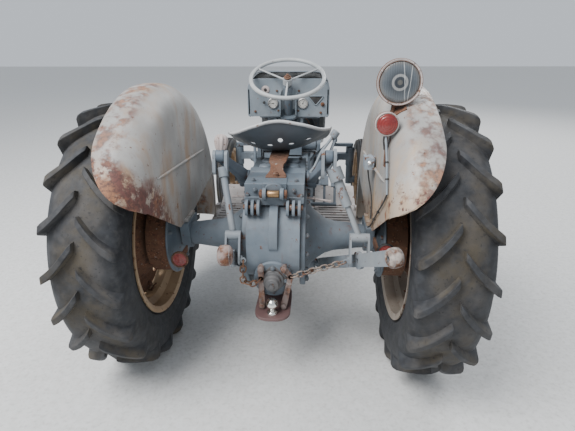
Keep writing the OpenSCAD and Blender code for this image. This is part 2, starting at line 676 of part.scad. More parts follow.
// Tow plate with its hangers, tow ball and the cap of the power take-off
module drawbar() {
    ball_y = -315;
    plate_t = 14;
    hang_y = [hanger_y - 3, hanger_y + 3];
    studs = [[48, pto_z + 58], [46, plate_z + 26]];
    color("saddlebrown") difference() {
        union() {
            hull() {
                for (x = [-30, 30]) zrod(90, x, -312, [plate_z, plate_z + plate_t]);
                box([-75, 75], [-200, -76], [plate_z, plate_z + plate_t]);
            }
            for (s = [LEFT, RIGHT], p = studs) hull() {
                yrod(26, chain_from(s)[0], hang_y, chain_from(s)[2]);
                yrod(28, s * p[0], hang_y, p[1]);
            }
        }
        for (s = [LEFT, RIGHT]) yrod(chain_hole, chain_from(s)[0], [hang_y[0] - 1, hang_y[1] + 1], chain_from(s)[2]);
        zrod(20, 0, ball_y, [plate_z - 1, plate_z + plate_t + 1]);
    }
    color("silver") {
        translate([0, ball_y, -180]) sphere(d = tow_d);
        zrod(24, 0, ball_y, [plate_z + plate_t + 4, -185]);
        zrod(44, 0, ball_y, [plate_z + plate_t, plate_z + plate_t + 8]);
    }
    color(iron) {
        translate([0, rear_face_y - gap, pto_z]) rotate([0, 45, 0]) box([-35, 35], [-10, 0], [-35, 35]);
        ycone([50, 70], 0, [rear_face_y - 44, rear_face_y - 8], pto_z);
        translate([0, rear_face_y - 58, pto_z]) rotate([0, 45, 0]) box([-10, 10], [0, 20], [-10, 10]);
        for (s = [LEFT, RIGHT]) {
            yrod(26, s * studs[0][0], [hang_y[0] - 12, rear_face_y - gap], studs[0][1]);
            yrod(24, s * studs[1][0], [hang_y[0] - 10, hang_y[1] + 8], studs[1][1]);
        }
    }
}
// Rocker for the top link, behind the lift cover
module top_link_rocker() {
    y = -190;
    z = 262;
    color(iron) difference() {
        union() {
            both() hull() {
                xrod(46, [16, 30], y, z);
                box([16, 30], [-150 - 0.3 - 20, -150 - 0.3], [206, 232]);
            }
            box([-60, 60], [-172, -150 - gap], [206, 232]);
            both() xrod(24, [60, 112], -165, 218);
        }
        xrod(19, [-31, 31], y, z);
    }
}

// Work lamp, tail lamp, switch box and reflectors
module lamps() {
    work = [457, -250, 705];
    tail = [bracket_x - 9, -fender_r / 2, fender_r - 106];
    foot_r = fender_r - 32.5;
    strap_a = 111.5;                    // where the work lamp's strap crosses the crown
    foot = [bracket_x + 24, foot_r * cos(strap_a), foot_r * sin(strap_a)];
    left = [-411, -40];                 // reflectors, [x, z]
    right = [bracket_x + 52, 20];
    wall = bracket_x - gap;
    color(iron) {
        translate(work) {
            ycone([lamp_d, lamp_d - 64], 0, [0, 56], 0);
            difference() { yrod(lamp_d, 0, [-14, 0], 0); yrod(lamp_d - 18, 0, [-15, -6], 0); }
        }
        bar(foot, [work[0], work[1] + 16, work[2] - lamp_d / 2 + 14], 14);
        translate(foot) sphere(d = 15);
        translate([bracket_x, 0, 0]) rotate([90, 0, 90]) rotate([0, 0, strap_a - 2.5]) rotate_extrude(angle = 5)
            polygon([for (p = concat([for (i = [1:3]) dome(-gap)[i]], [for (i = [3:-1:1]) dome(-gap - 4)[i]])) [p[1], p[0]]]);
        translate(tail) {
            difference() { yrod(tail_d, 0, [-6, 14], 0); yrod(tail_d - 10, 0, [-7, 0], 0); }
            ycone([tail_d, 40], 0, [14, 34], 0);
        }
        box([wall - 6, wall], [tail[1] + 6, tail[1] + 26], [tail[2] - 154, tail[2]]);
        box([bracket_x - 46, wall - 7], [-96, -26], [344, 392]);
        box([wall - 7, wall], [-80, -42], [366, 390]);
        box([left[0] - 3, left[0] + 3], [-200, -88 - gap], [left[1] - 14, left[1] + 14]);
        box([bracket_x + 12, bracket_x + 22], [-200, -88 - gap], [right[1] - 14, right[1] + 14]);
    }
    color("firebrick") {
        translate(tail) yrod(tail_d - 11, 0, [-12, 0 - gap], 0);
        for (p = [left, right]) yrod(72, p[0], [-208, -200 + gap], p[1]);
    }
    color("whitesmoke") translate(work) yrod(lamp_d - 19, 0, [-10, -6 - gap], 0);
}

// Pedals and levers
module controls() {
    pedal_y = 725;
    pedal_z = -110;
    plate_x = 134;                      // side of the lift cover
    color(iron) {
        // gear lever
        zrod(44, 0, 560, [lid_z + gap, lid_z + 14]);
        translate([0, 560, lid_z + 20]) sphere(d = 34);
        bar([0, 560, lid_z + 20], [10, 520, 400], 14);
        translate([10, 520, 400]) sphere(d = 34);
        // clutch pedal on the left, brake pedals on the right: places of the pads
        for (p = [[-250, 790, 20], [235, 790, 20], [300, 790, 10]]) {
            bar([p[0], pedal_y, pedal_z], p, 16);
            translate(p) rotate([40, 0, 0]) box([-25, 25], [-30, 40], [-2, 8]);
        }
        xrod(24, [gearbox_x + gap, 312], pedal_y, pedal_z);
        xrod(24, [-262, -gearbox_x - gap], pedal_y, pedal_z);
        // lift control quadrant and lever on the right
        box([plate_x + gap, plate_x + 12], [160, 262], [208, 330]);
        bar([plate_x + 8, 212, 300], [262, 340, 392], 10);
        translate([262, 340, 392]) sphere(d = 28);
    }
}

// Lift arms on their cross shaft
module lift_arms() {
    color(sheet) {
        xrod(shaft_d, [-arm_x - 18, arm_x + 18], shaft_y, shaft_z);
        both() difference() {
            hull() {
                xrod(84, [arm_x - 16, arm_x + 16], shaft_y, shaft_z);
                translate([arm_x, 0, 0]) xrod(54, [-16, 16], arm_end(1)[1], arm_end(1)[2]);
            }
            xrod(20 + 2 * run, [arm_x - 17, arm_x + 17], arm_end(1)[1], arm_end(1)[2]);
        }
        translate(arm_end(LEFT)) rotate([-20, 0, 0]) {
            translate([0, 0, 18]) cylinder(d = 31, h = 52);
            translate([0, 0, 70]) sphere(d = 31);
        }
    }
}
// Lift rods, each with a yoke over the lift arm, a fork over the lower link and an eye for its check chain
fork_t = 8;
module lift_rod(s) {
    a = arm_end(s);
    b = link_at(s, link_rod);
    long = norm(b - a);
    eye = chain_to(s);
    fork_x = link_row(s)[3];
    neck = b + [0, a[1] - b[1], a[2] - b[2]] * 98 / long;
    rod = norm(neck - a);
    color(sheet) {
        xrod(20, [a[0] - 30, a[0] + 30], a[1], a[2]);
        for (x = [-31, 18]) translate([a[0] + x, 0, 0]) hull() {
            xrod(s < 0 ? 44 : 66, [0, 13], a[1], a[2]);
            xrod(s < 0 ? 30 : 56, [0, 13], a[1] - 20, a[2] - 62);
        }
        aim(a, neck) {
            translate([0, 0, 50]) cylinder(d = s < 0 ? 40 : 62, h = s < 0 ? 40 : 56);
            translate([0, 0, 88]) cylinder(d = s < 0 ? 28 : 40, h = s < 0 ? rod - 110 : 130);
            translate([0, 0, 100]) cylinder(d = 24, h = rod - 100);
        }
        translate(neck) xrod(38, [-fork_x - 1, fork_x + 1], 0, 0);
        for (x = [-fork_x - fork_t, fork_x]) hull() {
            xrod(50, [b[0] + x, b[0] + x + fork_t], b[1], b[2]);
            translate(neck) xrod(38, [x, x + fork_t], 0, 0);
        }
    }
    color("saddlebrown") difference() {
        union() {
            xrod(30, [b[0] - fork_x - fork_t - 8, b[0] + fork_x + fork_t + 8], b[1], b[2]);
            hull() {
                yrod(23, eye[0], [eye[1] - 3, eye[1] + 3], eye[2]);
                yrod(18, b[0] - s * (fork_x + 8), [eye[1] - 3, eye[1] + 3], eye[2]);
            }
        }
        yrod(chain_hole, eye[0], [eye[1] - 4, eye[1] + 4], eye[2]);
        box([b[0] - fork_x, b[0] + fork_x], [b[1] - 60, b[1] + 60], [b[2] - 60, b[2] + 60]);
    }
}
// Lower links, with a bored ball at each end
module lower_link(s) {
    rear = link_l;
    color(sheet) translate(link_at(s, 0)) difference() {
        rotate([0, 0, link_row(s)[1]]) rotate([-link_row(s)[2], 0, 0]) difference() {
            union() {
                hull() {
                    xrod(56, [-8, 8], 0, 0);
                    xrod(54, [-8, 8], -link_rod, 0);
                }
                hull() {
                    xrod(54, [-8, 8], -link_rod, 0);
                    xrod(60, [-8, 8], -rear, 0);
                }
                xrod(74, [-8, 8], -link_rod, 0);
                xrod(70, [-17, 17], -rear, 0);
                xrod(56, [-22, 22], -rear, 0);
                xrod(56, [-12, 12], 0, 0);
            }
            xrod(ball_bore, [-23, 23], -rear, 0);
            xrod(20, [-23, 23], -link_rod, 0);
        }
        xrod(link_pin + 2 * run, [-30, 30], 0, 0);
    }
}

// Check chains. Links stand across the chain and along it in turn; each hooks into the last.
chain_d = 6.5;      // wire
chain_in = 26;      // inner length
chain_end_r = 8.5;  // inner radius of the ends
chain_play = 0.4;
chain_hole = 12;    // holes it hooks into
hanger_y = rear_face_y - 23;
chain_half = [chain_in / 2 + chain_d / 2, chain_in / 2 - chain_end_r];
// Climb of each link in degrees, from the hanger outwards: the left chain hangs slack, the right one is taut
HANG = [[-40, -32, 24, 80, 92, 97, 94], [for (i = [1:9]) 16.4]];
function hang(s) = HANG[s < 0 ? 0 : 1];
function unit(a) = [cos(a), sin(a)];
function link_mid(h, i) = i == 0 ? chain_half[0] * unit(h[0]) : link_mid(h, i - 1) + chain_half[(i - 1) % 2] * unit(h[i - 1])
    + (chain_end_r - chain_d / 2 - chain_play) * unit((h[i - 1] + h[i]) / 2) + chain_half[i % 2] * unit(h[i]);
function chain_span(h) = link_mid(h, len(h) - 1) + chain_half[0] * unit(h[len(h) - 1]);
// Ends of a chain: the eye on the lift rod, the way to it in plan, and the eye on the hanger
function chain_to(s) = link_at(s, link_rod) + [-s * (link_row(s)[3] + 22), -15, 0];
function chain_way(s) = let (v = chain_to(s) - [s * 74, hanger_y, 0]) [v[0], v[1], 0] / norm([v[0], v[1]]);
function chain_at(s, c) = chain_to(s) - chain_way(s) * (chain_span(hang(s))[0] - c[0]) - [0, 0, chain_span(hang(s))[1] - c[1]];
function chain_from(s) = chain_at(s, [0, 0]);
module chain_link() {
    r = chain_end_r + chain_d / 2;
    straight = chain_in - 2 * chain_end_r;
    for (e = [-1, 1]) translate([0, e * straight / 2, 0]) rotate([0, 0, e > 0 ? 0 : 180])
        rotate_extrude(angle = 180, $fn = 32) translate([r, 0]) circle(d = chain_d, $fn = 16);
    for (e = [-1, 1]) translate([e * r, -straight / 2, 0]) rotate([-90, 0, 0]) cylinder(d = chain_d, h = straight, $fn = 16);
}
module check_chains() {
    color("saddlebrown") for (s = [LEFT, RIGHT]) {
        h = hang(s);
        for (i = [0:len(h) - 1]) translate(chain_at(s, link_mid(h, i)))
            rotate([0, 0, atan2(chain_way(s)[1], chain_way(s)[0])]) rotate([0, -h[i], 0])
                rotate([i % 2 * 90, 0, 0]) rotate([0, 0, 90]) chain_link();
    }
}

tractor() rear_housing();
tractor() lift_cover();
tractor() axle_trumpets();
tractor() gearbox();
tractor() engine();
tractor() exhaust();
tractor() radiator();
tractor() front_support();
tractor() front_axle();
tractor() fender(LEFT);  // fender_left
tractor() fender(RIGHT);  // fender_right
tractor() footrests();
tractor() seat();
tractor() seat_bracket();
tractor() steering_box();
tractor() dash();
tractor() fuel_tank();
tractor() drawbar();
tractor() top_link_rocker();
tractor() lamps();
tractor() controls();
tractor() check_chains();
tractor() lift_arms();
tractor() lift_rod(LEFT);  // lift_rod_left
tractor() lift_rod(RIGHT);  // lift_rod_right
tractor() lower_link(LEFT);  // lower_link_left
tractor() lower_link(RIGHT);  // lower_link_right
tractor() bonnet();
tractor() grille();
tractor() steering_wheel();
tractor() drop_arm(LEFT);  // drop_arm_left
tractor() drop_arm(RIGHT);  // drop_arm_right
tractor() drag_link(LEFT);  // drag_link_left
tractor() drag_link(RIGHT);  // drag_link_right
tractor() knuckle(LEFT);  // knuckle_left
tractor() knuckle(RIGHT);  // knuckle_right
tractor() front_tyre(LEFT);  // front_tyre_left
tractor() front_tyre(RIGHT);  // front_tyre_right
tractor() front_wheel(LEFT);  // front_wheel_left
tractor() front_wheel(RIGHT);  // front_wheel_right
tractor() rear_tyre(LEFT);  // rear_tyre_left
tractor() rear_tyre(RIGHT);  // rear_tyre_right
tractor() rear_rim(LEFT);  // rear_rim_left
tractor() rear_rim(RIGHT);  // rear_rim_right
tractor() rear_disc(LEFT);  // rear_disc_left
tractor() rear_disc(RIGHT);  // rear_disc_right
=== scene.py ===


# %% [markdown]
# # A small vintage farm tractor
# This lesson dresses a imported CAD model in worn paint, rust and rubber. The model already holds every
# solid in its right place, so the cells below only add what a solid can't show: soft rubber, pressed
# sheet, glass, wires, bolts, and the finish of each surface. Run the cells from top to bottom.

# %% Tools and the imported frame
import json
import math

import bmesh
import bpy
import numpy as np
from mathutils import Matrix, Vector


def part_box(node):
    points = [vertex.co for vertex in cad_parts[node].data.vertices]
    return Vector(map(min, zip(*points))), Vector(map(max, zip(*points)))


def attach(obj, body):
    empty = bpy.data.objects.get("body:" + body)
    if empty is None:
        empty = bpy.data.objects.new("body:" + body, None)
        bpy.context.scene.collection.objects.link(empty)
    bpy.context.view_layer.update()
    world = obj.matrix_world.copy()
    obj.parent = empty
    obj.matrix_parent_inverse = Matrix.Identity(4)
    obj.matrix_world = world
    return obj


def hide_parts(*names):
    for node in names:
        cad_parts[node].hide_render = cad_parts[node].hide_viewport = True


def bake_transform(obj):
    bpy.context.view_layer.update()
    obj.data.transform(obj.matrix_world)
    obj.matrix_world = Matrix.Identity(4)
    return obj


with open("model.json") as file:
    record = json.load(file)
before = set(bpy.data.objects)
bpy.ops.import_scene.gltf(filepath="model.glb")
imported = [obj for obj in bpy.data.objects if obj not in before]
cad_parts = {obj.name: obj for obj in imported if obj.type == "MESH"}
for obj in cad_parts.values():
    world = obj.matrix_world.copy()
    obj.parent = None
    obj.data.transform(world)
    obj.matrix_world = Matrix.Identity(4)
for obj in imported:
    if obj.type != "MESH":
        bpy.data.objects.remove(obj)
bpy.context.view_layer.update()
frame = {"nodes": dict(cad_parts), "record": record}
print("CAD nodes:", len(frame["nodes"]))

# %% [markdown]
# Everything on a tractor hangs on its rear axle, and drawings of one are dimensioned from there. The
# frame stands on the ground with its box centred, so the axle's centre is measured from the two rear
# wheel discs. All later places are millimetres from that centre, which keeps the numbers readable.

# %% Centre of the rear axle
disc_low, disc_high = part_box("rear_disc_left")
AXLE = Vector((0, (disc_low.y + disc_high.y) / 2, (disc_low.z + disc_high.z) / 2))
MM = 0.001
LEFT = -1
RIGHT = 1
print("rear axle centre:", [round(value, 4) for value in AXLE])

# %% [markdown]
# ## A small kit of shapes
# A shape is a pair: an array of points in millimetres and a list of faces. Plain functions make a
# few kinds of shape, and `piece` joins any number of them into one object that rides a CAD body.
# Numbers in, mesh out: this is easier to repeat and to change than modelling by hand.

# %% Skins and turned shapes
def loft(rows, closed=False):
    """A skin over rows of equally many points, with a lid at each end unless the rows close on themselves."""
    count, last = len(rows[0]), len(rows) - 1
    faces = []
    for row in range(last + closed):
        here, below = row * count, (row + 1) % len(rows) * count
        for i in range(count):
            after = (i + 1) % count
            faces.append((here + i, here + after, below + after, below + i))
    if not closed:
        faces += [tuple(range(count))[::-1], tuple(range(last * count, (last + 1) * count))]
    return np.array([point for row in rows for point in row], float), faces


def full_turn(count):
    """That many angles round a circle."""
    return np.linspace(0, 2 * math.pi, count, endpoint=False)


def turn(profile, count=48, closed=False):
    """A profile of (radius, height) rows, turned round the Z axis."""
    rows = [[(r * math.cos(a), r * math.sin(a), z) for a in full_turn(count)] for r, z in profile]
    return loft(rows, closed)


def block(x, y, z):
    """A box between the limits in x, y and z."""
    points = [(i, j, k) for k in z for j in y for i in x]
    faces = [(0, 2, 3, 1), (4, 5, 7, 6), (0, 1, 5, 4), (2, 6, 7, 3), (0, 4, 6, 2), (1, 3, 7, 5)]
    return np.array(points, float), faces


def placed(shape, at, axis=(0, 0, 1), spin=0.0):
    """A shape whose Z axis is turned to axis and whose origin is moved to at."""
    turned = Vector(axis).to_track_quat("Z", "Y").to_matrix() @ Matrix.Rotation(spin, 3, "Z")
    return shape[0] @ np.array(turned).T + np.array(at, float), shape[1]


def lathe(profile, count, at, axis=(0, 0, 1), spin=0.0, closed=False):
    """A turned profile, put in its place."""
    return placed(turn(profile, count, closed), at, axis, spin)


print("faces of a turned disc:", len(turn([(20, 0), (20, 5)])[1]))

# %% Bars, soft outlines and slabs
def tube(path, radius, sides=10, ring=False):
    """A round bar along a path of points, or a ring; radius is one number or one for each point."""
    path = [Vector(p) for p in path]
    around = path[-1:] + path + path[:1] if ring else path[:1] + path + path[-1:]
    across, rows = (path[1] - (path[-1] if ring else path[0])).normalized().orthogonal().normalized(), []
    for before, centre, after, r in zip(around, path, around[2:], np.broadcast_to(radius, len(path))):
        way = (after - before).normalized()
        across = (across - way * across.dot(way)).normalized()
        other = way.cross(across)
        spokes = [across * math.cos(a) + other * math.sin(a) for a in full_turn(sides)]
        rows.append([centre + spoke * float(r) for spoke in spokes])
    return loft(rows, ring)


def rounded(corners, radius, steps=5):
    """A closed outline whose corners are softened by that radius."""
    out = []
    for i, corner in enumerate(corners):
        here = Vector(corner)
        ways = [Vector(other) - here for other in (corners[i - 1], corners[(i + 1) % len(corners)])]
        a, b = (here + way.normalized() * min(radius, way.length * 0.49) for way in ways)
        for t in np.linspace(0, 1, steps):
            out.append(tuple((1 - t) ** 2 * a + 2 * t * (1 - t) * here + t * t * b))
    return out


def slab(outline, axis, low, high):
    """An outline of pairs given thickness along x, y or z; the pairs are the two other coordinates."""
    flat = np.array(outline, float)
    return loft([np.insert(flat, "xyz".index(axis), level, axis=1) for level in (low, high)])


def mirrored(shape, side, shift=0.0):
    """A shape drawn for the right side, put on the right or on the left, and moved outwards by shift."""
    return shape[0] * (side, 1, 1) + (side * shift, 0, 0), shape[1]


print("points of a square with soft corners:", len(rounded([(0, 0), (9, 0), (9, 9), (0, 9)], 2)))

# %% Shapes across the tractor, and curves
def along_x(profile, at, count=48):
    """A turned profile of (radius, x) rows, on an axis along x through a (y, z) place."""
    points, faces = turn(profile, count)
    return np.column_stack((points[:, 2], points[:, 0] + at[0], points[:, 1] + at[1])), faces


def rod(radius, low, high, at, count):
    """A plain round rod between two places in x."""
    return along_x([(radius, low), (radius, high)], at, count)


def collar(radius, low, high, at, count, edge):
    """A round collar between two places in x, with both its edges bevelled."""
    step = math.copysign(edge, high - low)
    rows = [(radius - edge, low), (radius, low + step), (radius, high - step), (radius - edge, high)]
    return along_x(rows, at, count)


def smooth_path(corners, steps=8):
    """A soft curve through the corners, for hoses and wires."""
    corners = [Vector(c) for c in corners]
    ends = [2 * corners[0] - corners[1]] + corners + [2 * corners[-1] - corners[-2]]
    path = []
    for a, b, c, d in zip(ends, ends[1:], ends[2:], ends[3:]):
        second, third = 2 * a - 5 * b + 4 * c - d, 3 * b - a - 3 * c + d
        path += [0.5 * (2 * b + (c - a) * t + second * t ** 2 + third * t ** 3)
                 for t in np.linspace(0, 1, steps, endpoint=False)]
    return path + [corners[-1]]


def joined(shapes):
    """One shape from several."""
    starts = np.cumsum([0] + [len(points) for points, faces in shapes]).tolist()
    faces = [tuple(i + start for i in face) for shape, start in zip(shapes, starts) for face in shape[1]]
    return np.vstack([points for points, faces in shapes]), faces


print("points of a round bar:", len(rod(5, -9, 9, (0, 0), 12)[0]))

# %% Pieces that ride a body
SIDES = ((LEFT, "left"), (RIGHT, "right"))
BACK, UP = (0, -1, 0), (0, 0, 1)


def body_with(node):
    """Name of the body that carries a node."""
    return next(b for b, members in frame["record"]["behaviour"]["bodies"].items() if node in members)


def new_object(name, data):
    """An object with that data, in the scene."""
    obj = bpy.data.objects.new(name, data)
    bpy.context.scene.collection.objects.link(obj)
    return obj


def piece(name, shapes, look, body="root", bevel=0.0, smooth=35):
    """An object from shapes in axle millimetres, with a finish, riding a CAD body unless that is None."""
    points, faces = joined(shapes)
    mesh = bpy.data.meshes.new(name)
    mesh.from_pydata([tuple(Vector(p) * MM + AXLE) for p in points], [], faces)
    mesh.validate()
    made = bmesh.new()
    made.from_mesh(mesh)
    bmesh.ops.recalc_face_normals(made, faces=made.faces)
    made.to_mesh(mesh)
    made.free()
    mesh.materials.append(look)
    obj = new_object(name, mesh)
    if bevel:
        edge = obj.modifiers.new("edges", "BEVEL")
        edge.width = bevel * MM
        edge.segments = 2
        edge.limit_method = "ANGLE"
    mesh.shade_smooth()
    mesh.set_sharp_from_angle(angle=math.radians(smooth))
    if body:
        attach(obj, body)
    print(name, "on", body, "faces:", len(mesh.polygons))
    return obj


# %% [markdown]
# ## Shader maths that reads like maths
# A procedural finish is arithmetic on patterns: noise times a mask, one minus a mask, a colour mixed
# by a mask. Wrapping a node socket in a small class with overloaded operators lets such a sum be
# written as a sum. Plain numbers never reach the class alone, so Python works those out itself.

# %% A socket that can be calculated with
class Sock:
    """An output socket of a material's node tree."""

    def __init__(self, tree, out):
        self.tree = tree
        self.out = out

    def node(self, kind, settings=None, output=0, **inputs):
        """Any node in this tree: its settings first, then values or links for its inputs."""
        made = self.tree.nodes.new("ShaderNode" + kind)
        for key, value in (settings or {}).items():
            setattr(made, key, value)
        for key, value in inputs.items():
            place = made.inputs[int(key[1:])] if key[1:].isdigit() else made.inputs[key.replace("_", " ")]
            if isinstance(value, Sock):
                self.tree.links.new(value.out, place)
            else:
                place.default_value = value
        return Sock(self.tree, made.outputs[output])

    def math(self, operation, a, b=0.0, clamp=False):
        return self.node("Math", {"operation": operation, "use_clamp": clamp}, i0=a, i1=b)

    def __add__(self, other):
        return self.math("ADD", self, other)

    __radd__ = __add__

    def __sub__(self, other):
        return self.math("SUBTRACT", self, other)

    def __rsub__(self, other):
        return self.math("SUBTRACT", other, self)

    def __mul__(self, other):
        return self.math("MULTIPLY", self, other)

    __rmul__ = __mul__

    def __truediv__(self, other):
        return self.math("DIVIDE", self, other)

    def __rtruediv__(self, other):
        return self.math("DIVIDE", other, self)

    def held(self):
        """Kept between zero and one."""
        return self.math("ADD", self, 0.0, clamp=True)

    def ramp(self, low, high):
        """Zero below low, one above high, and a soft slope between."""
        return self.node("MapRange", {"interpolation_type": "SMOOTHSTEP"},
                         Value=self, From_Min=low, From_Max=high)

    def paint(self, under, over):
        """The colour under where this is zero or less, and the colour over where it is one or more."""
        return self.node("Mix", {"data_type": "RGBA"}, output=2, i0=self, i6=under, i7=over)

    def vector(self, operation, other=(0.0, 0.0, 0.0), output=0):
        return self.node("VectorMath", {"operation": operation}, output=output, i0=self, i1=other)

    def axis(self, name):
        """One coordinate of this vector."""
        return self.node("SeparateXYZ", output="XYZ".index(name), i0=self)

    def noise(self, scale, detail=4.0, rough=0.55, stretch=(1, 1, 1)):
        """Cloudy noise at this vector, stretched along an axis where wanted."""
        spot = self.vector("MULTIPLY", stretch) if tuple(stretch) != (1, 1, 1) else self
        return spot.node("TexNoise", Vector=spot, Scale=scale, Detail=detail, Roughness=rough)


# %% [markdown]
# Every finish below starts from two things: where a point lies on the tractor at rest, and how hidden
# it is from the open air. Dirt gathers and rust starts where parts meet, so the ambient occlusion of a
# point makes a natural mask for both; the same mask also darkens colour in the hollows as painted shade.
# `finish` builds the material; a recipe returns what varies.

# %% The start of every finish
def rgb(red, green, blue):
    """An opaque colour."""
    return (red, green, blue, 1.0)


def finish(name, recipe, **constants):
    """A procedural material. The recipe gets the place and the hollow mask, which it uses for dirt, rust and
    painted shade, and returns what varies.
    """
    material = bpy.data.materials.new(name)
    material.use_nodes = True
    tree = material.node_tree
    shader = tree.nodes["Principled BSDF"]
    start = Sock(tree, None)
    place = start.node("TexCoord", output=3)
    # The hollow mask from ambient occlusion: dirt and rust gather there, and it also darkens colour as
    # painted shade.
    shade_and_dirt_mask = 1 - start.node("AmbientOcclusion", {"samples": 6}, output=1, Distance=0.05)
    varied = recipe(place, shade_and_dirt_mask.ramp(0.25, 0.95))
    height = varied.pop("height")
    depth = varied.pop("depth", 0.002)
    bump = height.node("Bump", Strength=0.8, Distance=depth, Height=height)
    tree.links.new(bump.out, shader.inputs["Normal"])
    for key, value in varied.items():
        tree.links.new(value.out, shader.inputs[key.replace("_", " ")])
    for key, value in constants.items():
        shader.inputs[key.replace("_", " ")].default_value = value
    print(name, "nodes:", len(tree.nodes))
    return material


# %% [markdown]
# ## Worn paint on castings and sheet
# The castings were sprayed blue-grey decades ago. The paint has faded, oil dirt and painted shade darken the
# hollows, and rust runs down from bolts and joints in thin streaks. Streaks are noise squeezed sideways, so
# that it varies fast across and slowly down. The same recipe, with other colours and amounts, paints sheet.

# %% Recipe for worn paint
RUST_DARK = rgb(0.052, 0.026, 0.018)
RUST = rgb(0.150, 0.062, 0.034)
RUST_PALE = rgb(0.29, 0.145, 0.070)
DIRT_AND_SHADE = rgb(0.055, 0.045, 0.036)


def rust_colour(place):
    """Three browns in cloudy patches."""
    patch = place.noise(60, 5)
    base = patch.ramp(0.35, 0.60).paint(RUST_DARK, RUST)
    return place.noise(140, 3).ramp(0.52, 0.72).paint(base, RUST_PALE)


def worn_paint(paint, faded, rust=0.5, streaks=0.5, dirt=0.6, gloss=0.55, grain=0.25):
    """A recipe for old paint: its colour, its faded colour, and how much rust, streaks and dirt; the dirt
    amount also scales painted shade in the hollows.
    """
    def recipe(place, shade_and_dirt_mask):
        cloud = place.noise(5, 5)
        speck = place.noise(220, 3)
        runs = place.noise(38, 3, stretch=(1, 1, 0.10))
        colour = cloud.ramp(0.32, 0.68).paint(paint, faded)
        # Dirt film: cloudy noise dirt, plus darkening in the hollows from the ambient occlusion mask, which
        # is painted shade.
        film = (place.noise(16, 4).ramp(0.40, 0.72) * 0.35 + shade_and_dirt_mask * 0.8) * dirt
        colour = film.held().paint(colour, DIRT_AND_SHADE)
        run = (runs.ramp(0.66 - 0.12 * streaks, 0.80) * place.noise(3.2, 2).ramp(0.35, 0.62)).held()
        flakes = place.noise(34, 6, 0.65) + shade_and_dirt_mask * 0.10
        chip = flakes.ramp(0.70 - 0.13 * rust, 0.745 - 0.11 * rust).held()
        pits = (speck.ramp(0.70, 0.78) * place.noise(9, 3).ramp(0.42, 0.60)).held()
        bare = (chip + pits * rust).held()
        colour = (run * 0.75 * streaks).paint(colour, RUST)
        colour = bare.paint(colour, rust_colour(place))
        rough = (gloss + film * 0.25 + bare * 0.22 + run * 0.1 + (speck - 0.5) * 0.12).held()
        lift = (1 - bare) * 0.55 + place.noise(90, 4) * grain + speck * 0.10
        lift = lift + bare * place.noise(180, 4) * 0.6
        return {"Base_Color": colour, "Roughness": rough, "height": lift, "depth": 0.0012}
    return recipe


# %% [markdown]
# Bare rusted steel has no paint left at all. It is never one brown: old rust is nearly black, fresh
# rust is orange, and where parts rub the steel shines through. The rubbed share makes it metallic.

# %% Recipe for bare rusty steel
def rusty(share_rubbed=0.15, tint=rgb(0.16, 0.085, 0.055)):
    """Bare rust with a tint of its own, and how much of the steel is rubbed bright."""
    def recipe(place, shade_and_dirt_mask):
        colour = place.noise(26, 5).ramp(0.35, 0.62).paint(rust_colour(place), tint)
        # Painted shade: the colour darkens in the hollows that the ambient occlusion mask finds.
        colour = (shade_and_dirt_mask * 0.7).paint(colour, DIRT_AND_SHADE)
        rubbed = (place.noise(70, 4).ramp(0.66 - 0.3 * share_rubbed, 0.76) * (1 - shade_and_dirt_mask)).held()
        colour = rubbed.paint(colour, rgb(0.33, 0.31, 0.29))
        rough = (0.88 - rubbed * 0.42 + (place.noise(150, 2) - 0.5) * 0.15).held()
        lift = place.noise(75, 5, 0.6) * 0.6 + place.noise(260, 3) * 0.35
        return {"Base_Color": colour, "Roughness": rough, "Metallic": rubbed, "height": lift, "depth": 0.0014}
    return recipe


# %% [markdown]
# Tyre rubber goes grey and dull outdoors. Soil packs in at the foot of the lugs and dusts the
# sidewalls, while the tops of the lugs stay darker because the ground wipes them. The distance of a
# point from the wheel's axle tells tread from sidewall, and that is one vector length in the shader.

# %% Recipe for tyre rubber
def rubber(centre, tread, foot):
    """Rubber of a tyre round centre; soil lies below the radius tread and above foot."""
    def recipe(place, shade_and_dirt_mask):
        arm = place.vector("SUBTRACT", tuple(centre)).vector("MULTIPLY", (0, 1, 1))
        radius = arm.vector("LENGTH", output=1)
        low_tread = radius.ramp(foot - 0.03, foot) * (1 - radius.ramp(tread - 0.016, tread))
        soil = (place.noise(9, 6, 0.62).ramp(0.30, 0.70) * (0.12 + low_tread * 0.88) + shade_and_dirt_mask * 0.35).held()
        dust = place.noise(45, 4).ramp(0.45, 0.75) * 0.30
        colour = place.noise(30, 4).ramp(0.3, 0.7).paint(rgb(0.012, 0.0135, 0.017), rgb(0.030, 0.033, 0.039))
        colour = (dust * (1 - low_tread * 0.5)).paint(colour, rgb(0.090, 0.088, 0.085))
        earth = place.noise(4, 4).ramp(0.4, 0.6).paint(rgb(0.105, 0.098, 0.092), rgb(0.10, 0.080, 0.052))
        colour = (soil * 0.80).paint(colour, earth)
        scuff = place.noise(85, 3).ramp(0.60, 0.68) * low_tread * 0.7
        colour = scuff.paint(colour, rgb(0.02, 0.02, 0.021))
        rough = (0.66 + soil * 0.25 + (place.noise(120, 2) - 0.5) * 0.15).held()
        lift = place.noise(70, 5) * 0.5 + place.noise(300, 3) * 0.2 + soil * place.noise(110, 4) * 0.5
        return {"Base_Color": colour, "Roughness": rough, "height": lift, "depth": 0.0022}
    return recipe


# %% [markdown]
# Chrome, glass and lenses finish the list. Chrome pits and dulls in the weather, a lens holds dust round its
# edge, and rubber hoses craze. On chrome, pale dials and the floor the hollow mask also darkens the colour,
# which is painted shade. Each still gets its own noise, because a single flat colour always looks like
# plastic.

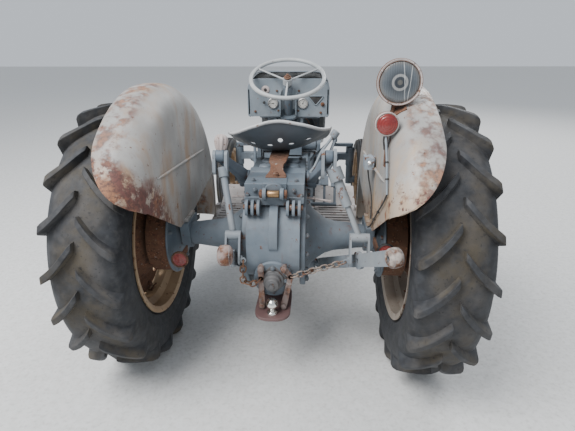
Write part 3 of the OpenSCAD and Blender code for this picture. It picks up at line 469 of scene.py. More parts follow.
# %% Recipes for small parts
def polished(colour, spoiled, dull=0.25):
    """Bright metal with spoiled spots."""
    def recipe(place, shade_and_dirt_mask):
        spots = place.noise(90, 5).ramp(0.58, 0.72)
        # Noise spots and the hollows of the ambient occlusion mask turn the metal to the spoiled colour:
        # spotted wear, and painted shade in the hollows.
        tone = (spots * 0.8 + shade_and_dirt_mask * 0.5).paint(colour, spoiled)
        rough = (dull + spots * 0.4 + place.noise(200, 3) * 0.12).held()
        return {"Base_Color": tone, "Roughness": rough, "Metallic": (1 - spots * 0.7).held(),
                "height": place.noise(160, 4) + spots * 0.4, "depth": 0.0005}
    return recipe


def tinted(colour, shade, gloss=0.14):
    """A lens, a dial or a rubber part: two near tones, dust and a fine grain; a dusty tone in the hollows is
    dust on dark parts and painted shade on pale ones.
    """
    def recipe(place, shade_and_dirt_mask):
        dust = place.noise(55, 4).ramp(0.45, 0.78)
        tone = place.noise(24, 4).ramp(0.35, 0.65).paint(colour, shade)
        # The hollow mask mixes in a dusty brown: dust on dark lenses and rubber, painted shade on pale dials
        # and the floor.
        tone = (dust * 0.22 + shade_and_dirt_mask * 0.45).paint(tone, rgb(0.13, 0.11, 0.09))
        rough = (gloss + dust * 0.3 + place.noise(150, 2) * 0.08).held()
        return {"Base_Color": tone, "Roughness": rough, "height": place.noise(130, 4), "depth": 0.0006}
    return recipe


def rust_and_paint(middle, reach, paint):
    """Rusty steel that keeps its old paint within reach of one place."""
    def recipe(place, shade_and_dirt_mask):
        varied = rusty(0.1)(place, shade_and_dirt_mask)
        near = 1 - place.vector("DISTANCE", tuple(middle), output=1).ramp(reach * 0.9, reach * 1.1)
        kept = (near * (1 - (place.noise(48, 5) + shade_and_dirt_mask * 0.12).ramp(0.56, 0.62))).held()
        varied["Base_Color"] = kept.paint(varied["Base_Color"], paint)
        varied["Metallic"] = varied["Metallic"] * (1 - kept)
        return varied
    return recipe


# %% The finishes
def worn(name, paint, faded, *amounts):
    """A finish of worn paint; the amounts are those of rust, streaks, dirt (with painted shade in the
    hollows), gloss and grain.
    """
    return finish(name, worn_paint(rgb(*paint), rgb(*faded), *amounts))


BLUE = (0.105, 0.135, 0.165)
casting = worn("casting_paint", BLUE, (0.165, 0.195, 0.225), 0.55, 0.8, 0.5)
casting_rough = worn("engine_paint", (0.07, 0.085, 0.10), BLUE, 0.8, 0.6, 0.9)
sheet = worn("sheet_paint", (0.17, 0.205, 0.235), (0.25, 0.285, 0.315), 0.35, 0.4, 0.3, 0.45, 0.08)
bonnet_paint = worn("bonnet_paint", (0.33, 0.36, 0.38), (0.44, 0.46, 0.47), 0.3, 0.4, 0.25, 0.4, 0.05)
link_paint = worn("link_paint", (0.185, 0.215, 0.245), (0.27, 0.29, 0.305), 0.75, 0.6, 0.45)
arm_paint = worn("lift_arm_paint", (0.09, 0.12, 0.155), (0.135, 0.165, 0.20), 0.5, 0.4, 0.5)
iron_paint = worn("bare_iron", (0.085, 0.088, 0.092), (0.15, 0.14, 0.135), 0.7, 0.6, 0.6)
lamp_rim = worn("lamp_paint", (0.42, 0.35, 0.33), (0.52, 0.47, 0.45), 0.95, 0.5, 0.3)
seat_paint = worn("seat_paint", (0.085, 0.105, 0.125), (0.125, 0.145, 0.165), 0.35, 0.1, 0.4, 0.42, 0.06)
seat_pale = worn("seat_rim", (0.40, 0.41, 0.42), (0.52, 0.52, 0.52), 0.45, 0.1, 0.4, 0.42, 0.06)
tow_paint = worn("tow_paint", (0.125, 0.070, 0.068), (0.17, 0.10, 0.095), 0.4, 0.1, 0.4)
footrest_paint = worn("footrest_paint", (0.33, 0.30, 0.285), (0.45, 0.42, 0.40), 0.8, 0.1, 0.7)
bolt_paint = worn("bolt_paint", (0.085, 0.105, 0.125), (0.15, 0.165, 0.18), 1.0, 0.5, 0.5)
wheel_grip = worn("wheel_rim_grip", (0.36, 0.38, 0.39), (0.48, 0.49, 0.49), 0.35, 0.1, 0.45, 0.42, 0.05)
SWITCH_BOX = Vector((392, -80, 372)) * MM + AXLE
lamp_body = finish("lamp_body", rust_and_paint(SWITCH_BOX, 0.075, rgb(0.27, 0.31, 0.35)))
steel_rust = finish("rusty_steel", rusty())
strap_paint = finish("strap_paint", rusty(0.25, rgb(0.20, 0.155, 0.14)))
chain_rust = finish("chain_rust", rusty(0.30, rgb(0.22, 0.12, 0.07)))
chain_bright = finish("chain_bright", rusty(0.85, rgb(0.27, 0.215, 0.175)))
ball_brown = finish("link_ball_brown", rusty(0.35, rgb(0.27, 0.205, 0.185)))
ball_pale = finish("link_ball_pale", rusty(0.6, rgb(0.42, 0.37, 0.33)))
bronze = finish("bronze", polished(rgb(0.36, 0.225, 0.12), rgb(0.16, 0.085, 0.05), 0.35))
bright_chrome = finish("bright_chrome", polished(rgb(0.83, 0.82, 0.78), rgb(0.40, 0.36, 0.30), 0.10))
chrome = finish("chrome", polished(rgb(0.62, 0.61, 0.60), rgb(0.23, 0.17, 0.13)), IOR=2.2)
black_rubber = finish("black_rubber", tinted(rgb(0.018, 0.018, 0.020), rgb(0.045, 0.044, 0.042), 0.5))

# %% [markdown]
# The rear rims differ from side to side. The left one is ochre with rust breaking through, the right
# one is a plain grey-brown. Two calls of the recipe for worn paint do it.

# %% Finishes of the wheels
rim_left = worn("rim_paint_left", (0.33, 0.215, 0.125), (0.44, 0.31, 0.19), 0.85, 0.3, 0.3)
rim_right = worn("rim_paint_right", (0.27, 0.22, 0.175), (0.35, 0.30, 0.25), 0.75, 0.3, 0.3)
disc_rust = finish("disc_rust", rusty(0.05, rgb(0.13, 0.066, 0.038)))
rear_rubber = finish("tyre", rubber(AXLE, 0.600, 0.575))
front_low, front_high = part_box("front_tyre_left")
front_rubber = finish("front_tyre_rubber", rubber((front_low + front_high) / 2, 0.345, 0.30))

# %% [markdown]
# ## Painting the CAD nodes
# The solids from the CAD keep their shape and only receive a finish. A table pairs each node with one,
# which is easier to check than a long list of calls.

# %% Finish of each CAD node
both = [name + end for name in ("drop_arm", "drag_link", "knuckle") for end in ("_left", "_right")]
NODE_FINISH = {
    casting: ["rear_housing", "lift_cover", "axle_trumpets", "gearbox", "steering_box", "lift_arms",
              "footrests", "top_link_rocker", "front_support", "front_axle", "controls"] + both,
    casting_rough: ["engine", "radiator"],
    sheet: ["dash", "fuel_tank", "fender_left", "fender_right"],
    bonnet_paint: ["bonnet"],
    link_paint: ["lift_rod_left", "lift_rod_right", "lower_link_left", "lower_link_right"],
    seat_paint: ["seat"],
    wheel_grip: ["steering_wheel"],
    steel_rust: ["seat_bracket", "exhaust"],
    lamp_body: ["lamps"],
    chain_rust: ["check_chains"],
    tow_paint: ["drawbar"],
    chrome: ["grille"],
    rim_left: ["rear_rim_left", "front_wheel_left", "front_wheel_right"],
    rim_right: ["rear_rim_right"],
    disc_rust: ["rear_disc_left", "rear_disc_right"],
    rear_rubber: ["rear_tyre_left", "rear_tyre_right"],
    front_rubber: ["front_tyre_left", "front_tyre_right"],
}
for material, names in NODE_FINISH.items():
    for name in names:
        frame["nodes"][name].data.materials.clear()
        frame["nodes"][name].data.materials.append(material)
print("painted nodes:", sum(map(len, NODE_FINISH.values())))

# %% [markdown]
# ## Rear tyres
# A farm tyre is a soft carcass with tall rubber lugs that sweep back from the middle of the tread to the
# shoulder, so that each half pushes soil outwards. The CAD tyre is right in size but faceted. The
# piece here follows the same sizes with a rounded carcass, moulded lug feet and rings on the sidewall.

# %% Carcass and lugs
TYRE = {"x": 660.0, "radius": 600.0, "width": 284.0, "sweep": math.radians(13), "lugs": 20}
CARCASS = [(0.0, 570), (0.3, 569), (0.55, 564), (0.75, 552), (0.88, 538), (0.955, 522), (0.99, 500),
           (1.0, 478), (0.992, 456), (0.975, 440), (0.972, 436), (0.948, 432), (0.946, 426), (0.925, 420),
           (0.905, 404), (0.875, 396), (0.872, 391), (0.85, 388), (0.80, 382), (0.795, 362)]
TREAD = tuple(zip(*CARCASS[:7]))


def carcass():
    """The tyre's round body, from one inner edge over the tread to the other."""
    right = [(radius, share * TYRE["width"] / 2) for share, radius in CARCASS]
    return turn([(radius, -along) for radius, along in right[:0:-1]] + right, 120, closed=True)


def lug(angle, mirror):
    """A swept bar from the middle of the tread to the shoulder."""
    rows = []
    for step in (0.0, 0.03, 0.12, 0.3, 0.5, 0.7, 0.86, 0.95, 0.985, 1.0):
        share = 0.045 + 0.94 * step
        turned = angle + TYRE["sweep"] * (step + 0.10 * math.sin(math.pi * step))
        begin, end = max(0.0, (0.05 - step) / 0.05), max(0.0, (step - 0.9) / 0.1)
        top = TYRE["radius"] - 1.0 - 13.0 * step ** 2 - 16.0 * end ** 2 - 5.0 * begin
        foot = float(np.interp(share, *TREAD)) - 9.0
        wide = 1 - 0.12 * begin - 0.10 * end
        half = [(-25, foot), (-19, foot + 14), (-16, top - 3.5), (-13.5, top)]
        section = [(turned + across * wide / r, r) for across, r in half + [(-x, r) for x, r in half[::-1]]]
        x = mirror * share * TYRE["width"] / 2
        rows.append([(x, -r * math.sin(a), r * math.cos(a)) for a, r in section])
    return loft(rows)


# %% Both rear tyres
for side, name in SIDES:
    lugs = [lug((k + half / 2) * 2 * math.pi / TYRE["lugs"], 1 - 2 * half)
            for k in range(TYRE["lugs"]) for half in (0, 1)]
    shapes = [mirrored(shape, side, TYRE["x"]) for shape in [placed(carcass(), (0, 0, 0), (1, 0, 0))] + lugs]
    body = body_with("rear_tyre_" + name)
    tyre = piece("tyre_rubber_" + name, shapes, rear_rubber, body, bevel=1.6, smooth=40)
    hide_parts("rear_tyre_" + name)

# %% [markdown]
# ## Fenders
# Each fender is one pressed sheet: a flat inner plate that turns over a soft crown and ends in a
# rolled edge. The sheet is three millimetres thick, and years of knocks have left shallow dents. The
# crown is a profile carried round the axle, and slow waves move its points a little for the dents.

# %% Profile and dents of a fender
FENDER = {"plate": 420.0, "radius": 680.0, "crest": 112.0, "width": 178.0, "thick": 3.0}
PLATE_R = FENDER["radius"] - 120


def reach_at(angle):
    """Width of the crown at an angle round the axle: its rear corner is a rounded one."""
    past = max(0.0, math.degrees(angle) - 126) / 24.3
    return max(8.0, FENDER["width"] * math.sqrt(max(0.0, 1 - past * past)))


def fender_profile(inset, reach, steps=22):
    """(across, radius) from the plate over the crown to where the sheet ends."""
    crest, lip = FENDER["crest"], FENDER["width"] - FENDER["crest"]
    last = math.acos(max(-1.0, (reach - crest) / (lip if reach > crest else crest)))
    rows = [(inset, PLATE_R - 8)]
    for a in math.pi + (last - math.pi) * np.arange(steps + 1) / steps:
        near = a > math.pi / 2
        across = crest + math.cos(a) * (crest - inset if near else lip)
        radius = PLATE_R + 120 * math.sin(a) if near else FENDER["radius"] - 14 * (1 - math.sin(a))
        rows.append((min(across, reach - inset * 0.9), radius - inset))
    return rows


def dent(point, size=2.6, scale=0.0055):
    """How far a knock has moved the sheet at a point, in millimetres."""
    x, y, z = Vector(point) * scale
    wave = math.sin(x * 3 + 2 * math.sin(y * 1.7)) * math.cos(z * 2.3 + y)
    ripple = math.sin(y * 9 + z * 7) * math.sin(z * 11 - x * 5)
    return size * (0.6 * wave + 0.4 * ripple)


print("profile rows of the crown:", len(fender_profile(0.0, FENDER["width"])))

# %% Crown and plate of a fender
def crown(steps=120):
    """The crown as a closed sheet with a rolled edge, from in front of the axle round to the rear."""
    rows = []
    for angle in np.radians(np.linspace(-14, 150, steps)):
        outer, inner = (fender_profile(inset, reach_at(angle)) for inset in (0.0, FENDER["thick"]))
        across, radius = outer[-1]
        edge = [(min(across - 3.5 + 4.2 * math.cos(a), FENDER["width"]), radius - 3.5 + 4.2 * math.sin(a))
                for a in np.linspace(0.9, -3.6, 8)]
        ahead, up = math.cos(angle), math.sin(angle)
        loop = [(x, r - abs(dent((x, r * ahead, r * up)))) for x, r in outer + edge + inner[::-1]]
        rows.append([(x, r * ahead, r * up) for x, r in loop])
    return loft(rows)


def fender_plate(steps=70, lanes=16):
    """The flat inner plate between its lower edge and the crown, as two skins with a rim."""
    lower = [(540.4, 146.7), (142, 80), (90, 75.3), (-120, 75.3), (-482.4, 284.5)]
    runs = np.cumsum([0] + [math.dist(a, b) for a, b in zip(lower, lower[1:])])
    points = []
    for skin in (0.0, FENDER["thick"]):
        for share in np.linspace(0, 1, steps):
            y0, z0 = (np.interp(share * runs[-1], runs, column) for column in zip(*lower))
            angle = math.radians(15.2 + share * (149.5 - 15.2))
            for lane in np.linspace(0, 1, lanes):
                y = y0 + (PLATE_R * math.cos(angle) - y0) * lane
                z = z0 + (PLATE_R * math.sin(angle) - z0) * lane
                fade = min(1.0, lane * 5) * min(1.0, (1 - lane) * 5)
                points.append((skin + fade * dent((0, y, z), 3.2), y, z))
    grid = np.arange(steps * lanes).reshape(steps, lanes)
    faces = []
    corners = (grid[:-1, :-1], grid[:-1, 1:], grid[1:, 1:], grid[1:, :-1])
    for quad in np.stack(corners, axis=-1).reshape(-1, 4).tolist():
        faces += [tuple(quad), tuple(i + steps * lanes for i in quad[::-1])]
    rim = np.concatenate((grid[:, 0], grid[-1, 1:], grid[-2::-1, -1], grid[0, -2:0:-1])).tolist()
    faces += [(a, b, b + steps * lanes, a + steps * lanes) for a, b in zip(rim, rim[1:] + rim[:1])]
    return np.array(points), faces


# %% [markdown]
# The two fenders have aged apart. The left one is grey-white with heavy brown-red rust toward its rear
# lower corner, and the right one has a cream stain inside and rust speckles on a pale crown. The
# rust front is a soft slope along one direction, broken up by noise so that its edge is ragged.

# %% Recipe for the fenders' paint
def depth_behind(local, planes):
    """How deep a point lies behind all of the planes, each a (normal, offset) pair in metres."""
    deep = [local.vector("DOT_PRODUCT", normal, output=1) - offset for normal, offset in planes]
    while len(deep) > 1:
        deep[:2] = [local.math("MINIMUM", *deep[:2])]
    return deep[0]


def fender_paint(paint, faded, stain, planes, eaten_share, speckle):
    """Old sheet paint with an ochre stain and a rust front behind some planes."""
    under = worn_paint(paint, faded, rust=speckle, streaks=0.7, dirt=0.2, gloss=0.45, grain=0.05)

    def recipe(place, shade_and_dirt_mask):
        varied = under(place, shade_and_dirt_mask)
        local = place.vector("SUBTRACT", tuple(AXLE))
        radius = local.vector("MULTIPLY", (0, 1, 1)).vector("LENGTH", output=1)
        deep = depth_behind(local, planes)
        ragged = place.noise(11, 6, 0.62) - 0.5
        front = (deep + ragged * 0.16).ramp(-0.035, 0.035)
        streaky = place.noise(15, 5, stretch=(1, 1, 0.22))
        film = (streaky.ramp(0.40, 0.72) * place.noise(2.6, 3).ramp(0.36, 0.62) + front * 0.5).held()
        colour = (film * 0.80).paint(varied["Base_Color"], stain)
        bare = place.noise(6, 5).ramp(0.42, 0.60).paint(rgb(0.135, 0.052, 0.042), rgb(0.30, 0.135, 0.065))
        bare = place.noise(75, 5, 0.66).ramp(0.38, 0.66).paint(bare, rgb(0.075, 0.034, 0.028))
        patches = place.noise(19, 6, 0.68).ramp(0.50 - eaten_share, 0.60 - eaten_share)
        spots = place.noise(52, 5, 0.62).ramp(0.635, 0.675) * place.noise(5, 3).ramp(0.40, 0.60)
        edge = radius.ramp(0.660, 0.676) * place.noise(24, 4).ramp(0.42, 0.62) * 0.8
        eaten = (front * patches + spots * (0.35 + (deep + 0.35).ramp(0.0, 0.5) * 0.9) + edge).held()
        colour = eaten.paint(colour, bare)
        rough = (varied["Roughness"] + eaten * 0.25).held()
        lift = varied["height"] - eaten * 0.45 + eaten * place.noise(160, 4) * 0.5
        return {"Base_Color": colour, "Roughness": rough, "height": lift, "depth": 0.0012}
    return recipe


# %% Finishes of the fenders
LEFT_FRONT = [((-0.462, -0.436, -0.772), 0.097), ((-0.813, -0.439, -0.383), 0.370)]
RIGHT_FRONT = [((0.113, -0.335, -0.936), -0.134)]
left_fender = fender_paint(rgb(0.27, 0.262, 0.25), rgb(0.37, 0.36, 0.345), rgb(0.33, 0.205, 0.115),
                           LEFT_FRONT, 0.10, 0.45)
right_fender = fender_paint(rgb(0.30, 0.295, 0.285), rgb(0.40, 0.385, 0.36), rgb(0.46, 0.30, 0.165),
                            RIGHT_FRONT, -0.03, 0.40)
fender_finish = {LEFT: finish("fender_paint_left", left_fender)}
fender_finish[RIGHT] = finish("fender_paint_right", right_fender)

# %% Both fenders
for side, name in SIDES:
    rib_path = [(-1, y, 363 - (y + 340) * 48 / 730) for y in np.linspace(-336, 386, 12)]
    parts = (crown(), fender_plate(), tube(rib_path, [1.5] + [6.5] * 10 + [1.5], 12),
             block((-16, 20), (-60, 60), (75.5, 90)))
    shapes = [mirrored(shape, side, FENDER["plate"]) for shape in parts]
    sheet_piece = piece("fender_sheet_" + name, shapes, fender_finish[side], smooth=50)
    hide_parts("fender_" + name)

# %% [markdown]
# ## Bolts
# A machine is held together by bolts, and their heads catch the light and start the rust streaks. One
# function makes a washer, a six-sided head with a bevelled top and a stub of thread; tables of places
# put it wherever the real tractor has a flange.

# %% One bolt, and rings of them
def bolt(at, axis, size):
    """A hexagon head of that size over the flats, on a washer."""
    parts = [([(0.62, 0), (0.62, 0.10), (0.56, 0.12)], 18),
             ([(0.57, 0.10), (0.57, 0.54), (0.49, 0.62)], 6),
             ([(0.27, 0.1), (0.27, 0.78), (0.20, 0.84)], 12)]
    shapes = [turn([(r * size, h * size) for r, h in rows], count) for rows, count in parts]
    return placed(joined(shapes), at, axis, (at[0] * 1.7 + at[1] * 0.9 + at[2]) % 1.0)


def bolt_ring(x, way, radius, count, size, start=0.0):
    """Bolts round the rear axle at x, with their heads toward way."""
    return [bolt((x, radius * math.cos(a), radius * math.sin(a)), (way, 0, 0), size)
            for a in start + full_turn(count)]


# %% [markdown]
# ## Seat pan
# The seat is a pan pressed from one sheet: low in front and at the sides, and drawn up high at the
# back, so that from behind one looks at its underside, which is painted darker than the upper side as
# painted shade. A height over the plan describes it better than a sphere: one parabola across, and a
# steeper one toward the back. The rim is rolled outwards. The round holes and a row of slots are cut
# with a Boolean, because a cutter keeps their rims crisp.

# %% Form of the seat pan
SEAT = Vector((0, 240, 345))
SEAT_CIRCLES = [(-107.5, -60, 130), (107.5, -60, 130), (-127.5, 110, 90), (127.5, 110, 90)]
SEAT_LEAN = math.tan(math.radians(3))
SEAT_TURNS, SEAT_RINGS = 120, 26
WAYS = [(math.cos(t), math.sin(t)) for t in np.linspace(0, 2 * math.pi, 90)]


def seat_reach(angle):
    """Distance from the middle of the seat to the outline round its four circles, at an angle."""
    low, high = 0.0, 400.0
    while high - low > 0.2:
        middle = (low + high) / 2
        x, y = Vector((math.cos(angle), math.sin(angle))) * middle
        inside = all(x * u + y * v <= max(cx * u + cy * v + r for cx, cy, r in SEAT_CIRCLES) for u, v in WAYS)
        low, high = (middle, high) if inside else (low, middle)
    return low


def seat_height(x, y):
    """Height of the pan's underside over its lowest point."""
    back = 161 * max(0.0, -y / 190) ** 2 * (1 - 0.0046 * (math.hypot(x, 90) - 90))
    side = 99 * (x / 235) ** 2 * min(1.0, max(0.25, 1 - 0.75 * (y + 60) / 170))
    thighs = 10 * max(0.0, y / 200) * math.cos(x / 235 * math.pi * 1.5)
    return back + side + 26 * max(0.0, y / 200) ** 2 + thighs + x * SEAT_LEAN


print("reach of the seat to its side and back:", round(seat_reach(0)), round(seat_reach(-math.pi / 2)))

# %% The pan as rings
def seat_dish(thick=3.5):
    """The pan's underside, rolled rim and upper side, as rings round its middle."""
    around = [(math.cos(a), math.sin(a), seat_reach(a)) for a in full_turn(SEAT_TURNS)]
    shares = np.linspace(0.02, 1.0, SEAT_RINGS)
    steps = [(share, 0.0, 0.0) for share in shares]
    steps += [(1.0, 7.5 * math.sin(t), 7.5 - 7.5 * math.cos(t)) for t in np.linspace(0.5, 4.4, 8)]
    rows = []
    for share, out, up in steps + [(share, 0.0, thick) for share in shares[::-1]]:
        rows.append([])
        for u, v, reach in around:
            x, y = share * reach * u, share * reach * v
            steep = seat_height(x * 1.02, y * 1.02) - seat_height(x, y)
            lift = up if out else up * math.hypot(1, steep / max(0.02 * share * reach, 1))
            rows[-1].append(SEAT + Vector((x + out * u, y + out * v, seat_height(x, y) + lift)))
    return loft(rows)


# %% The seat with its hole and slots
seat_piece = piece("seat_pan", [seat_dish()], seat_paint, smooth=50)
# Painted shade: the underside keeps the dark copy of the seat paint, while the rolled rim and the upper side
# get the pale one.
seat_piece.data.materials.append(seat_pale)
SHADED_UNDERSIDE_FACES = (SEAT_RINGS - 1) * SEAT_TURNS
for face in seat_piece.data.polygons:
    face.material_index = 1 if face.index >= SHADED_UNDERSIDE_FACES else 0
HOLES = [(8, -128, 12, 12), (-122, -106, 14, 7), (-42, -102, 14, 7), (58, -104, 14, 7), (138, -114, 14, 7),
         (-80, 60, 11, 11), (80, 60, 11, 11), (0, 60, 11, 11)]
cutters = []
for x, y, half_long, half_wide in HOLES:
    oval = [(x + half_long * math.cos(a), y + SEAT.y + half_wide * math.sin(a)) for a in full_turn(28)]
    cutters.append(slab(oval, "z", 300, 560))
cutter = piece("seat_cutter", cutters, seat_paint)
cut = seat_piece.modifiers.new("holes", "BOOLEAN")
cut.object = cutter
cut.solver = "EXACT"
cleaned = bpy.data.meshes.new_from_object(seat_piece.evaluated_get(bpy.context.evaluated_depsgraph_get()))
seat_piece.modifiers.clear()
seat_piece.data = cleaned
bpy.data.objects.remove(cutter)
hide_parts("seat")
print("faces of the seat with its holes:", len(cleaned.polygons))

# %% Seat spring
SPRING = [(-64, 293.7, 45), (-30, 293.7, 45), (-20, 295, 42), (-8, 309, 30), (2, 323, 28), (12, 334, 30),
          (30, 338.2, 38), (150, 338.2, 44), (284, 338.2, 44)]
CORNERS = [(-1, -1), (1, -1), (1, 1), (-1, 1)]
strip = []
for before, (y, z, half), after in zip(SPRING[:1] + SPRING, SPRING, SPRING[1:] + SPRING[-1:]):
    up = Vector((before[1] - after[1], after[0] - before[0])).normalized() * 3.2
    strip.append([(side * half, y + sign * up.x, z + sign * up.y) for side, sign in CORNERS])
spring_parts = [loft(strip), bolt((0, -44, 297), UP, 22)]
spring = piece("seat_spring", spring_parts, steel_rust, bevel=1.0)
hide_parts("seat_bracket")

# %% [markdown]
# ## Rear castings
# The rear box is a deep barrel: its back bulges between two bolted flanges, and its underside rises to
# the power take-off. From each flange an axle housing narrows like a bell to a slim trumpet. In the CAD
# these are plain cylinders and boxes of the same size. Here a drawn outline is given thickness, and a
# profile is turned round the axle, which is how a pattern maker would make the two castings.

# %% Rear housing
HOUSING = [(420, 205), (60, 236), (-60, 232), (-150, 206), (-214, 158), (-246, 84), (-254, 0), (-246, -66),
           (-206, -106), (-130, -146), (-60, -184), (0, -206), (420, -210)]
RIB = [(-150, 214), (-206, 200), (-250, 140), (-262, 70), (-256, 30), (-200, 20), (-120, 120)]
FOOT = (150, -228)
BOSS = [(86, 0), (86, 60), (82, 96), (78, 102)]
housing = [slab(rounded(HOUSING, 60), "x", -112, 112), block((-118, 118), (0, 420), (-210, 205)),
           slab(rounded(RIB, 20), "x", -16, 20), lathe(BOSS, 48, (0, -160, -95), BACK)]
for s in (LEFT, RIGHT):
    housing.append(collar(232, s * 110, s * 135, (0, 0), 96, 4))
    housing.append(slab([(184, -262), (116, -262), (116, -208), (184, -208)], "x", s * 90, s * 132))
    housing.append(along_x([(31, s * 100), (31, s * 175), (27, s * 179)], FOOT, 32))
    housing.append(rod(14, s * 100, s * 231, FOOT, 24))
    housing.append(along_x([(23, s * 231), (23, s * 241), (19, s * 243)], FOOT, 6))
rear_casting = piece("rear_casting", housing, casting, bevel=2.0, smooth=40)
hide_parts("rear_housing")

# %% Axle housings
TRUMPET = [(170, 135), (164, 140), (150, 148), (127, 162), (104, 188), (82, 222), (69, 262), (64, 307),
           (56, 370), (52, 420), (52, 440), (62, 450), (98, 463), (186, 466), (188, 468), (188, 475)]
SADDLE = rounded([(-80, 75), (-60, -40), (-30, -66), (30, -66), (60, -40), (80, 75)], 16)
for s, name in SIDES:
    trumpet = [along_x([(r, s * x) for r, x in TRUMPET], (0, 0), 72)]
    trumpet.append(mirrored(slab(SADDLE, "x", 399, 441), s))
    for angle in (0.5, 1.35, 2.2, 3.4, 4.4, 5.4):
        rib, faces = slab([(60, 200), (160, 136), (60, 136)], "z", -5, 5)
        y = rib[:, 0] * math.cos(angle) - rib[:, 2] * math.sin(angle)
        z = rib[:, 0] * math.sin(angle) + rib[:, 2] * math.cos(angle)
        trumpet.append((np.column_stack((s * rib[:, 1], y, z)), faces))
    made = piece("axle_housing_" + name, trumpet, casting, bevel=2.0, smooth=40)
    if s == LEFT:
        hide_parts("axle_trumpets")

# %% [markdown]
# The hydraulic lift sits on top: a cover with rounded shoulders, and on the ends of its cross shaft two
# arms that splay outwards as they rise, so that they clear the seat and reach the lift rods. The arm is
# a loft: one rounded section is carried from the hub to the eye while it moves out and shrinks.

# %% Lift cover
SHAFT = (70, 250)
DOMES = [(34, 0), (34, 10), (28, 18), (10, 22)]
cover = [block((-126, 126), (-138, 316), (226, 289)), block((-48, 52), (-146, -40), (240, 293)),
         block((-126, 126), (-150, 330), (206, 234))]
cover.append(along_x([(50, -127), (52, -124), (52, 124), (50, 127)], SHAFT, 48))
cover += [lathe(DOMES, 32, (x, y, 286)) for x in (-60, 64) for y in (120, 220)]
lift_casting = piece("lift_casting", cover, casting, bevel=9.0, smooth=40)
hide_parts("lift_cover")
side_pins = [tube([(-128, 15, 180), (-209, 15, 178)], 5, 12), tube([(124, 15, 180), (239, 13, 163)], 5, 12),
             lathe([(8, 0), (9, 3), (8, 7)], 16, (237, 13, 163.4), (1, 0, -0.14))]
piece("side_pins", side_pins, lamp_rim)

# %% Lift arms
EYE = (-109.3, 400.4)
RISE = Vector(EYE) - Vector(SHAFT)
DEEP = Vector((RISE.y, -RISE.x)).normalized()


def arm_section(share, half_wide, half_deep):
    """A rounded section of the arm at a share of its length."""
    out = 154 + 71 * share * share * (3 - 2 * share)
    middle = Vector(SHAFT) + RISE * share
    corners = rounded([(side * half_wide, sign * half_deep) for side, sign in CORNERS], 9, 4)
    return [(out + a, middle.x + DEEP.x * b, middle.y + DEEP.y * b) for a, b in corners]


ARM_ROWS = [(0.0, 20, 30), (0.12, 20, 31), (0.3, 18, 28), (0.5, 16, 25), (0.75, 15, 24), (0.92, 15, 25),
            (1.0, 15, 20)]
arms = [rod(20, -184, 184, SHAFT, 32)]
for s in (LEFT, RIGHT):
    arms.append(mirrored(loft([arm_section(*row) for row in ARM_ROWS]), s))
    arms.append(collar(40, s * 129, s * 178, SHAFT, 48, 4))
    arms.append(along_x([(24, s * 178), (24, s * 186), (20, s * 188)], SHAFT, 6))
    arms.append(collar(27, s * 208, s * 242, EYE, 40, 3))
lift_pair = piece("lift_arm_pair", arms, arm_paint, body_with("lift_arms"), bevel=1.5, smooth=45)
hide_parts("lift_arms")
CAP = [(15, 12), (17, 20), (21, 26), (24, 36), (27, 48), (28, 58), (27, 68), (23, 78), (15, 85), (4, 88)]
cap = turn(CAP, 90)
cap[0][:, :2] *= 1 + 0.07 * np.cos(9 * np.arctan2(cap[0][:, 1], cap[0][:, 0]))[:, None]
cap = placed(cap, (-225, *EYE), (0.04, 0.25, 0.95))
piece("fluted_cap", [cap], lamp_rim, body_with("lift_arms"), smooth=60)

# %% [markdown]
# The top link's rocker is a small yoke with a bronze roller on its pin, under a round dome. Pairs of ears
# on both sides of it hold the springs' bolts. Bolts follow on every flange of the castings.

# %% Rocker, ears and pins
PIN = (-190, 262)
EAR_PIN = (-206, 210)
EAR = rounded([(-150, 170), (-226, 176), (-232, 204), (-214, 236), (-186, 238), (-150, 214)], 18)
dome = [(40 * math.cos(a), 264 + 38 * math.sin(a)) for a in np.linspace(3.0, 0.14, 12)]
dome = [(-40, 236), (-40, 262)] + dome + [(40, 262), (40, 236)]
yoke = [block((-62, 62), (-172, -150), (206, 236)), slab(dome, "y", -178, -146)]
link_pin = [rod(9.2, -58, 58, PIN, 20)]
for s in (LEFT, RIGHT):
    yoke.append(collar(25, s * 28, s * 44, PIN, 40, 2))
    yoke.append(slab([(-208, 262), (-150, 206), (-150, 240), (-176, 282)], "x", s * 30, s * 42))
    yoke += [slab(EAR, "x", s * x - 6, s * x + 6) for x in (60, 84, 108)]
    link_pin.append(along_x([(17, s * 45), (18, s * 47), (18, s * 53), (16, s * 56)], PIN, 28))
    for radius, low, high, count in ((7, 54, 120, 16), (13, 66, 78, 24), (11, 114, 122, 6)):
        link_pin.append(rod(radius, s * low, s * high, EAR_PIN, count))
rocker = piece("rocker_casting", yoke, casting, bevel=2.0, smooth=45)
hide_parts("top_link_rocker")
roller = along_x([(13, -25), (15, -22), (15, 22), (13, 25)], PIN, 32)
piece("bronze_roller", [roller], bronze, smooth=45)
piece("top_link_pin", link_pin, steel_rust, smooth=40)

# %% Bolts of the castings
casting_bolts = [bolt((x, -100, 289), UP, 17) for x in (-92, 92)]
casting_bolts += [bolt((x, -138, 262), BACK, 17) for x in (-82, 82)]
for s in (LEFT, RIGHT):
    casting_bolts += bolt_ring(s * 135, s, 206, 16, 19) + bolt_ring(s * 466, -s, 160, 8, 17, 0.4)
    casting_bolts += [bolt((s * 114, y, 234), UP, 17) for y in (-140, 140, 200, 260, 316)]
    casting_bolts += [bolt((s * 117, y, 150), UP, 15) for y in range(470, 760, 70)]
    casting_bolts += [bolt((s * 168, 980, z), BACK, 17) for z in (-170, -60, 60, 150)]
    casting_bolts.append(bolt((s * 98, 286, 289), UP, 16))
piece("casting_bolts", casting_bolts, bolt_paint, smooth=30)

